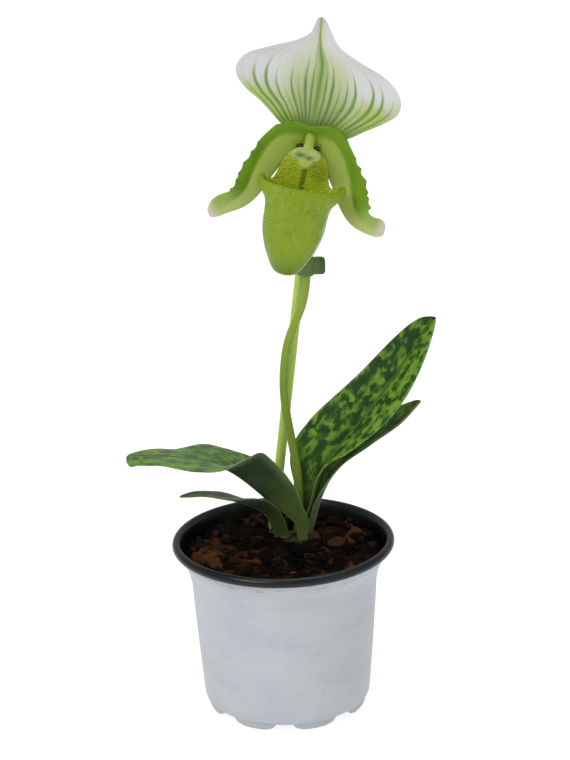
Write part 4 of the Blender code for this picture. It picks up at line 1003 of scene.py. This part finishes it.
def column_paint():
    """Waxy green with a pale shield that carries darker green marks."""
    p = Paint("column_waxy", 0.35, Specular_IOR_Level=0.25, Subsurface_Radius=(0.4, 0.6, 0.2), Subsurface_Weight=0.15, Subsurface_Scale=0.001)
    mark, lobe, part = p.split(p.attribute("place"))
    flat = p.attribute("grain")
    soft = p.noise(flat, 0.5, 2.0)
    green = p.mix(soft, rgb(142, 166, 56), rgb(170, 188, 90))
    rim = p.mix(soft, rgb(146, 162, 84), rgb(174, 186, 118))
    rim = p.mix(lobe, rim, p.mix(soft, rgb(150, 166, 66), rgb(166, 176, 92)))
    net = p.smooth(p.cells(flat, 0.9, "DISTANCE_TO_EDGE")[0], 0.14, 0.02, 0.0, 0.4)
    rim = p.mix(net, rim, rgb(126, 150, 74))
    shield = p.mix(mark, rim, p.mix(soft, rgb(66, 96, 40), rgb(96, 122, 60)))
    colour = p.mix(p.smooth(part, 0.4, 0.6), green, shield)
    # Part 2, the anthers, is dark reddish brown: painted shade of the hollows beside the column.
    colour = p.mix(p.smooth(part, 1.4, 1.6), colour, p.mix(soft, rgb(74, 48, 22), rgb(48, 28, 14)))
    p.set(Base_Color=colour)
    p.bump(p.noise(flat, 2.4, 3.0), 0.0003, 0.6)
    return p


def build_column(paint):
    """The column, its crescent shield and its two anthers, painted dark brown as the shaded hollows beside the
    column.
    """
    solid = Solid()
    route = in_flower([(0, 0.4, 0.7), (-0.1, 0.2, 3.5), (-0.4, -1.6, 8), (-0.8, -4.4, 11.4)])
    path = smooth_path(route, 40)
    radii = MM * keyed([(0, 2.5), (0.3, 2.5), (0.6, 2.3), (0.85, 2.8), (1, 2.6)], np.linspace(0, 1, 40))
    tube_solid(solid, path, radii, 28, relief=lambda turn, t: 1 + 0.05 * np.cos(3 * turn), tag=0.0)
    rings, steps = 26, 72
    right = np.array((math.cos(FLOWER_TURN), 0, -math.sin(FLOWER_TURN)))
    front = np.array((0, -1.0, 0))
    above = np.cross(front, right)
    above = above if above[2] > 0 else -above
    tip = math.radians(-12)
    ahead = math.cos(tip) * front - math.sin(tip) * above
    over = math.cos(tip) * above + math.sin(tip) * front
    centre = in_flower(np.array((-1.0, -6.6, 12.2)))
    for sign in (1, -1):
        points, place = [], []
        for i in range(rings + 1):
            r = i / rings
            for k in range(steps):
                a = math.tau * k / steps
                below, beside = hump(a, 1.5 * math.pi, 0.36), hump(abs(a - 1.5 * math.pi), 0.72, 0.22)
                edge = 1 + 0.62 * below - 0.12 * beside - 0.16 * hump(a, 0.5 * math.pi, 0.30)
                x, y = 7.6 * r * edge * math.cos(a), 4.3 * r * edge * math.sin(a)
                marks = min(1.0, math.exp(-((x + 2.9) / 2.5) ** 2 - ((y + 0.3) / 1.15) ** 2)
                            + math.exp(-((x - 1.9) / 1.9) ** 2 - ((y + 1.2) / 1.0) ** 2)) ** 0.8
                lobe = float(step(-2.0, -3.4, y))
                thick = 0.7 * math.sqrt(max(0.0, 1 - r**5))
                dome = 0.4 * math.cos(r * math.pi / 2) + 0.5 * lobe
                if sign > 0:
                    dome += 0.45 * hump(r, 0.84, 0.14) * (1 - lobe) - 0.75 * marks
                height = sign * thick + dome * min(1.0, (1 - r) * 6)
                points.append(centre + MM * (x * right + y * over + height * ahead))
                place.append((marks if sign > 0 else 0, lobe, 1.0))
        solid.add(points, ring_faces(rings + 1, steps), np.array(place))
    # The two anthers, painted as the shaded hollows beside the column.
    for side in (-1, 1):
        wart(solid, in_flower(np.array((-0.4 + 4.1 * side, -3.2, 8.0))), 1.6 * MM, (1.3, 1, 0.9), 2)
    solid.build("column_and_shield", paint, replaces=("column",), slot="column")


# Stem, stake and tie

SCAPE = [
    (7.8, 19.2, 89.5), (8.8, 19.4, 96), (9.3, 18.9, 109), (8.7, 18.6, 123), (7.4, 18.5, 135), (5.4, 19, 147),
    (3.4, 19.8, 161), (2.6, 20, 173), (3.1, 19.6, 184), (4.6, 19, 195), (7.2, 18.6, 204), (10.4, 18.2, 211.5),
    (13.4, 18, 219), (15.3, 18, 227), (16.3, 18, 235), (16.9, 18, 243), (17.8, 18, 259.5), (18.6, 17, 276),
    (19.2, 13, 294), (19.5, 8.8, 304.5), (19.7, 5.8, 309.8), (19.7, 3.6, 312.4),
]


def build_stem(paint, fuzz):
    path = smooth_path(np.array(SCAPE) * MM, 220)
    t = np.linspace(0, 1, len(path))
    radii = 2.3 * MM * keyed([(0, 1.1), (0.3, 1.0), (0.75, 0.95), (0.85, 1.05), (0.93, 1.3), (1, 1.0)], t)
    ovary = step(0.80, 0.86, t)
    solid = tube_solid(Solid(), path, radii, 28,
                       relief=lambda turn, place: 1 + 0.07 * np.cos(6 * turn) * step(0.80, 0.87, place)
                       + 0.02 * np.sin(2 * turn + 9 * place))
    solid.build("flower_stem_rod", paint, replaces=("flower_stem",), slot="stem")
    rng = np.random.default_rng(3)
    hairs = Solid()
    along = unit(np.gradient(path, axis=0))
    for _ in range(1000):
        i = int(rng.uniform(0.06, 0.99) * (len(path) - 1))
        way = rng.normal(size=3)
        way = unit(way - along[i] * (way @ along[i]))
        length = rng.uniform(0.25, 0.6) * MM * (1 - 0.4 * ovary[i])
        hair(hairs, path[i] + way * radii[i] * 0.97, way + 0.4 * along[i], length, 0.03 * MM)
    hairs.build("stem_hairs", fuzz, slot="stem")
    mid, up, s, t = blade(
        [(18.3, 21.5, 271), (18.6, 20.8, 280), (19, 19, 290), (19.5, 17.5, 297)], (1, 0, 0), (0, -1, 0),
        [[(0, 3.5), (0.4, 5), (0.8, 3), (1, 0.5)]] * 2, [[(0, 45), (1, 35)]] * 2, 60, 25)
    sheet_solid("bract_sheath", mid, 0.8 * MM, up, s, t,
                plain_paint("bract_green", rgb(104, 128, 50), rgb(136, 158, 76), 0.3, 0.5, 0.0003, (2, 2, 0.4)),
                replaces=("bract",), slot="stem")


def build_stake():
    foot, top = np.array((-12.8, 33.3, 30.0)), np.array((17.0, 23.0, 266.0))
    share = np.concatenate([[0], np.linspace(0.002, 0.996, 90), [0.9985, 1.0]])
    path = (foot + (top - foot) * share[:, None]) * MM
    radii = 2.7 * MM * np.ones(len(path))
    radii[[0, -1]] *= 0.82
    radii[-2] *= 0.95
    paint = plain_paint("stake_green", rgb(158, 186, 74), rgb(176, 202, 96), 0.25, 0.42, 0.0002, (3, 3, 0.25))
    tube_solid(Solid(), path, radii, 32).build("stake_rod", paint, replaces=("stake",), slot="stake")


def rotation(axis, degrees):
    c, s = math.cos(math.radians(degrees)), math.sin(math.radians(degrees))
    if axis == "Y":
        return np.array([[c, 0, s], [0, 1, 0], [-s, 0, c]])
    return np.array([[c, -s, 0], [s, c, 0], [0, 0, 1]])


def build_tie():
    """The soft clip: a rounded band round the stem and the stake, with a rounded tab at its right."""
    paint = Paint("tie_soft", 0.5, Specular_IOR_Level=0.25)
    flat = paint.attribute("grain")
    x = paint.split(flat)[0]
    green = paint.mix(paint.noise(flat, 0.15, 3.0), rgb(76, 98, 50), rgb(96, 118, 66))
    # Darker towards the right end of the band and its tab: painted shade where the band turns away from the light.
    paint.set(Base_Color=paint.mix(paint.smooth(x, 21.0, 26.0, 0.0, 0.75), green, rgb(58, 76, 38)))
    paint.bump(paint.noise(flat, 0.9, 4.0), 0.0004, 0.6)
    centre = np.array((14.95, 21.3, 241.0))
    lean = rotation("Y", 6) @ rotation("Z", 22)
    solid = Solid()
    sides = 96
    turn = np.arange(sides) * math.tau / sides
    profile = []
    for a in np.linspace(0, math.tau, 32, endpoint=False):
        x = np.sign(math.cos(a)) * abs(math.cos(a)) ** 0.35 * 0.75
        z = np.sign(math.sin(a)) * abs(math.sin(a)) ** 0.35 * 4.7
        profile.append((x, z))
    points = []
    for x, z in profile:
        offset = 3.85 + x
        ring = np.stack([offset * np.cos(turn), np.sign(np.sin(turn)) * 3.1 + offset * np.sin(turn),
                         np.full(sides, z)], axis=-1)
        points.append(ring)
    rings = np.array(points)
    faces = ring_faces(len(profile), sides)
    last = (len(profile) - 1) * sides
    faces += [[last + k, last + (k + 1) % sides, (k + 1) % sides, k] for k in range(sides)]
    solid.add((rings.reshape(-1, 3) @ lean.T + centre) * MM, faces, (0, 0, 0))
    count, half = 24, np.array((4.3, 2.5, 4.6))
    tab = []
    for i in range(count + 1):
        lift = math.pi * i / count
        for k in range(48):
            a = math.tau * k / 48
            d = np.array((math.sin(lift) * math.cos(a), math.sin(lift) * math.sin(a), math.cos(lift)))
            tab.append(np.sign(d) * np.abs(d) ** 0.42 * half)
    tab = np.array(tab) + centre + (7.2, -3.3, 0.1)
    solid.add(tab * MM, ring_faces(count + 1, 48), (1, 0, 0))
    solid.build("tie_clip", paint, replaces=("tie",), slot="tie_plastic")


# Stage

def lamp(name, place, aim, size, watts, colour=(1, 1, 1)):
    light = bpy.data.lights.new(name, "AREA")
    light.shape = "RECTANGLE"
    light.size, light.size_y = size
    light.energy = watts
    light.color = colour
    made = bpy.data.objects.new(name, light)
    made.location = place
    made.rotation_euler = (Vector(aim) - Vector(place)).to_track_quat("-Z", "Y").to_euler()
    bpy.context.scene.collection.objects.link(made)


def build_stage():
    scene = bpy.context.scene
    scene.view_settings.view_transform = "Standard"
    scene.view_settings.look = "None"
    bpy.ops.mesh.primitive_plane_add(size=12, location=(0, 2.0, 0))
    floor = bpy.context.object
    floor.name = "studio_floor"
    paint = Paint("floor_white", 0.9, Base_Color=(0.5, 0.5, 0.5, 1), Specular_IOR_Level=0.1,
                  Emission_Color=(1, 1, 1, 1), Emission_Strength=0.72)
    floor.data.materials.append(paint.material)
    world = scene.world or bpy.data.worlds.new("studio")
    scene.world = world
    world.use_nodes = True
    back = world.node_tree.nodes["Background"]
    back.inputs[0].default_value = (1, 1, 1, 1)
    back.inputs[1].default_value = 0.50
    lamp("key", (-0.9, -1.1, 1.5), (0, 0, 0.17), (0.7, 0.7), 17)
    lamp("fill", (1.2, -0.9, 0.9), (0, 0, 0.17), (0.9, 0.9), 2.5)
    lamp("top", (0.1, 0.5, 1.7), (0, 0, 0.1), (0.9, 0.9), 9)
    camera = bpy.data.objects.new("camera", bpy.data.cameras.new("camera"))
    scene.collection.objects.link(camera)
    scene.camera = camera
    place, aim = Vector((0, -1.2, 0.592477)), Vector((0.003376, 0, 0.184018))
    camera.location = place
    turn = (aim - place).to_track_quat("-Z", "Y").to_euler()
    camera.rotation_euler = turn
    camera.rotation_euler.rotate_axis("Z", math.radians(1.646) * ROLL)
    camera.data.sensor_fit = "VERTICAL"
    camera.data.sensor_height = 36
    camera.data.lens = 2402.643 / 760 * 36
    camera.data.clip_end = 50


ROLL = -1

build_stage()
build_pot(pot_paint())
build_bark(bark_paint())
build_crown(plain_paint("crown_fibres", rgb(26, 24, 12), rgb(70, 66, 32), 0.22, 0.8, 0.0008, (1, 1, 0.3)))
build_leaves()
stem = stem_paint()
build_stem(stem, plain_paint("stem_fuzz", rgb(130, 146, 78), rgb(112, 130, 62), 0.5, 0.6))
build_sepals()
build_petals(petal_paint(), plain_paint("wart_green", rgb(60, 92, 22), rgb(84, 116, 30), 0.6, 0.5))
build_pouch(pouch_paint())
build_column(column_paint())
build_stake()
build_tie()
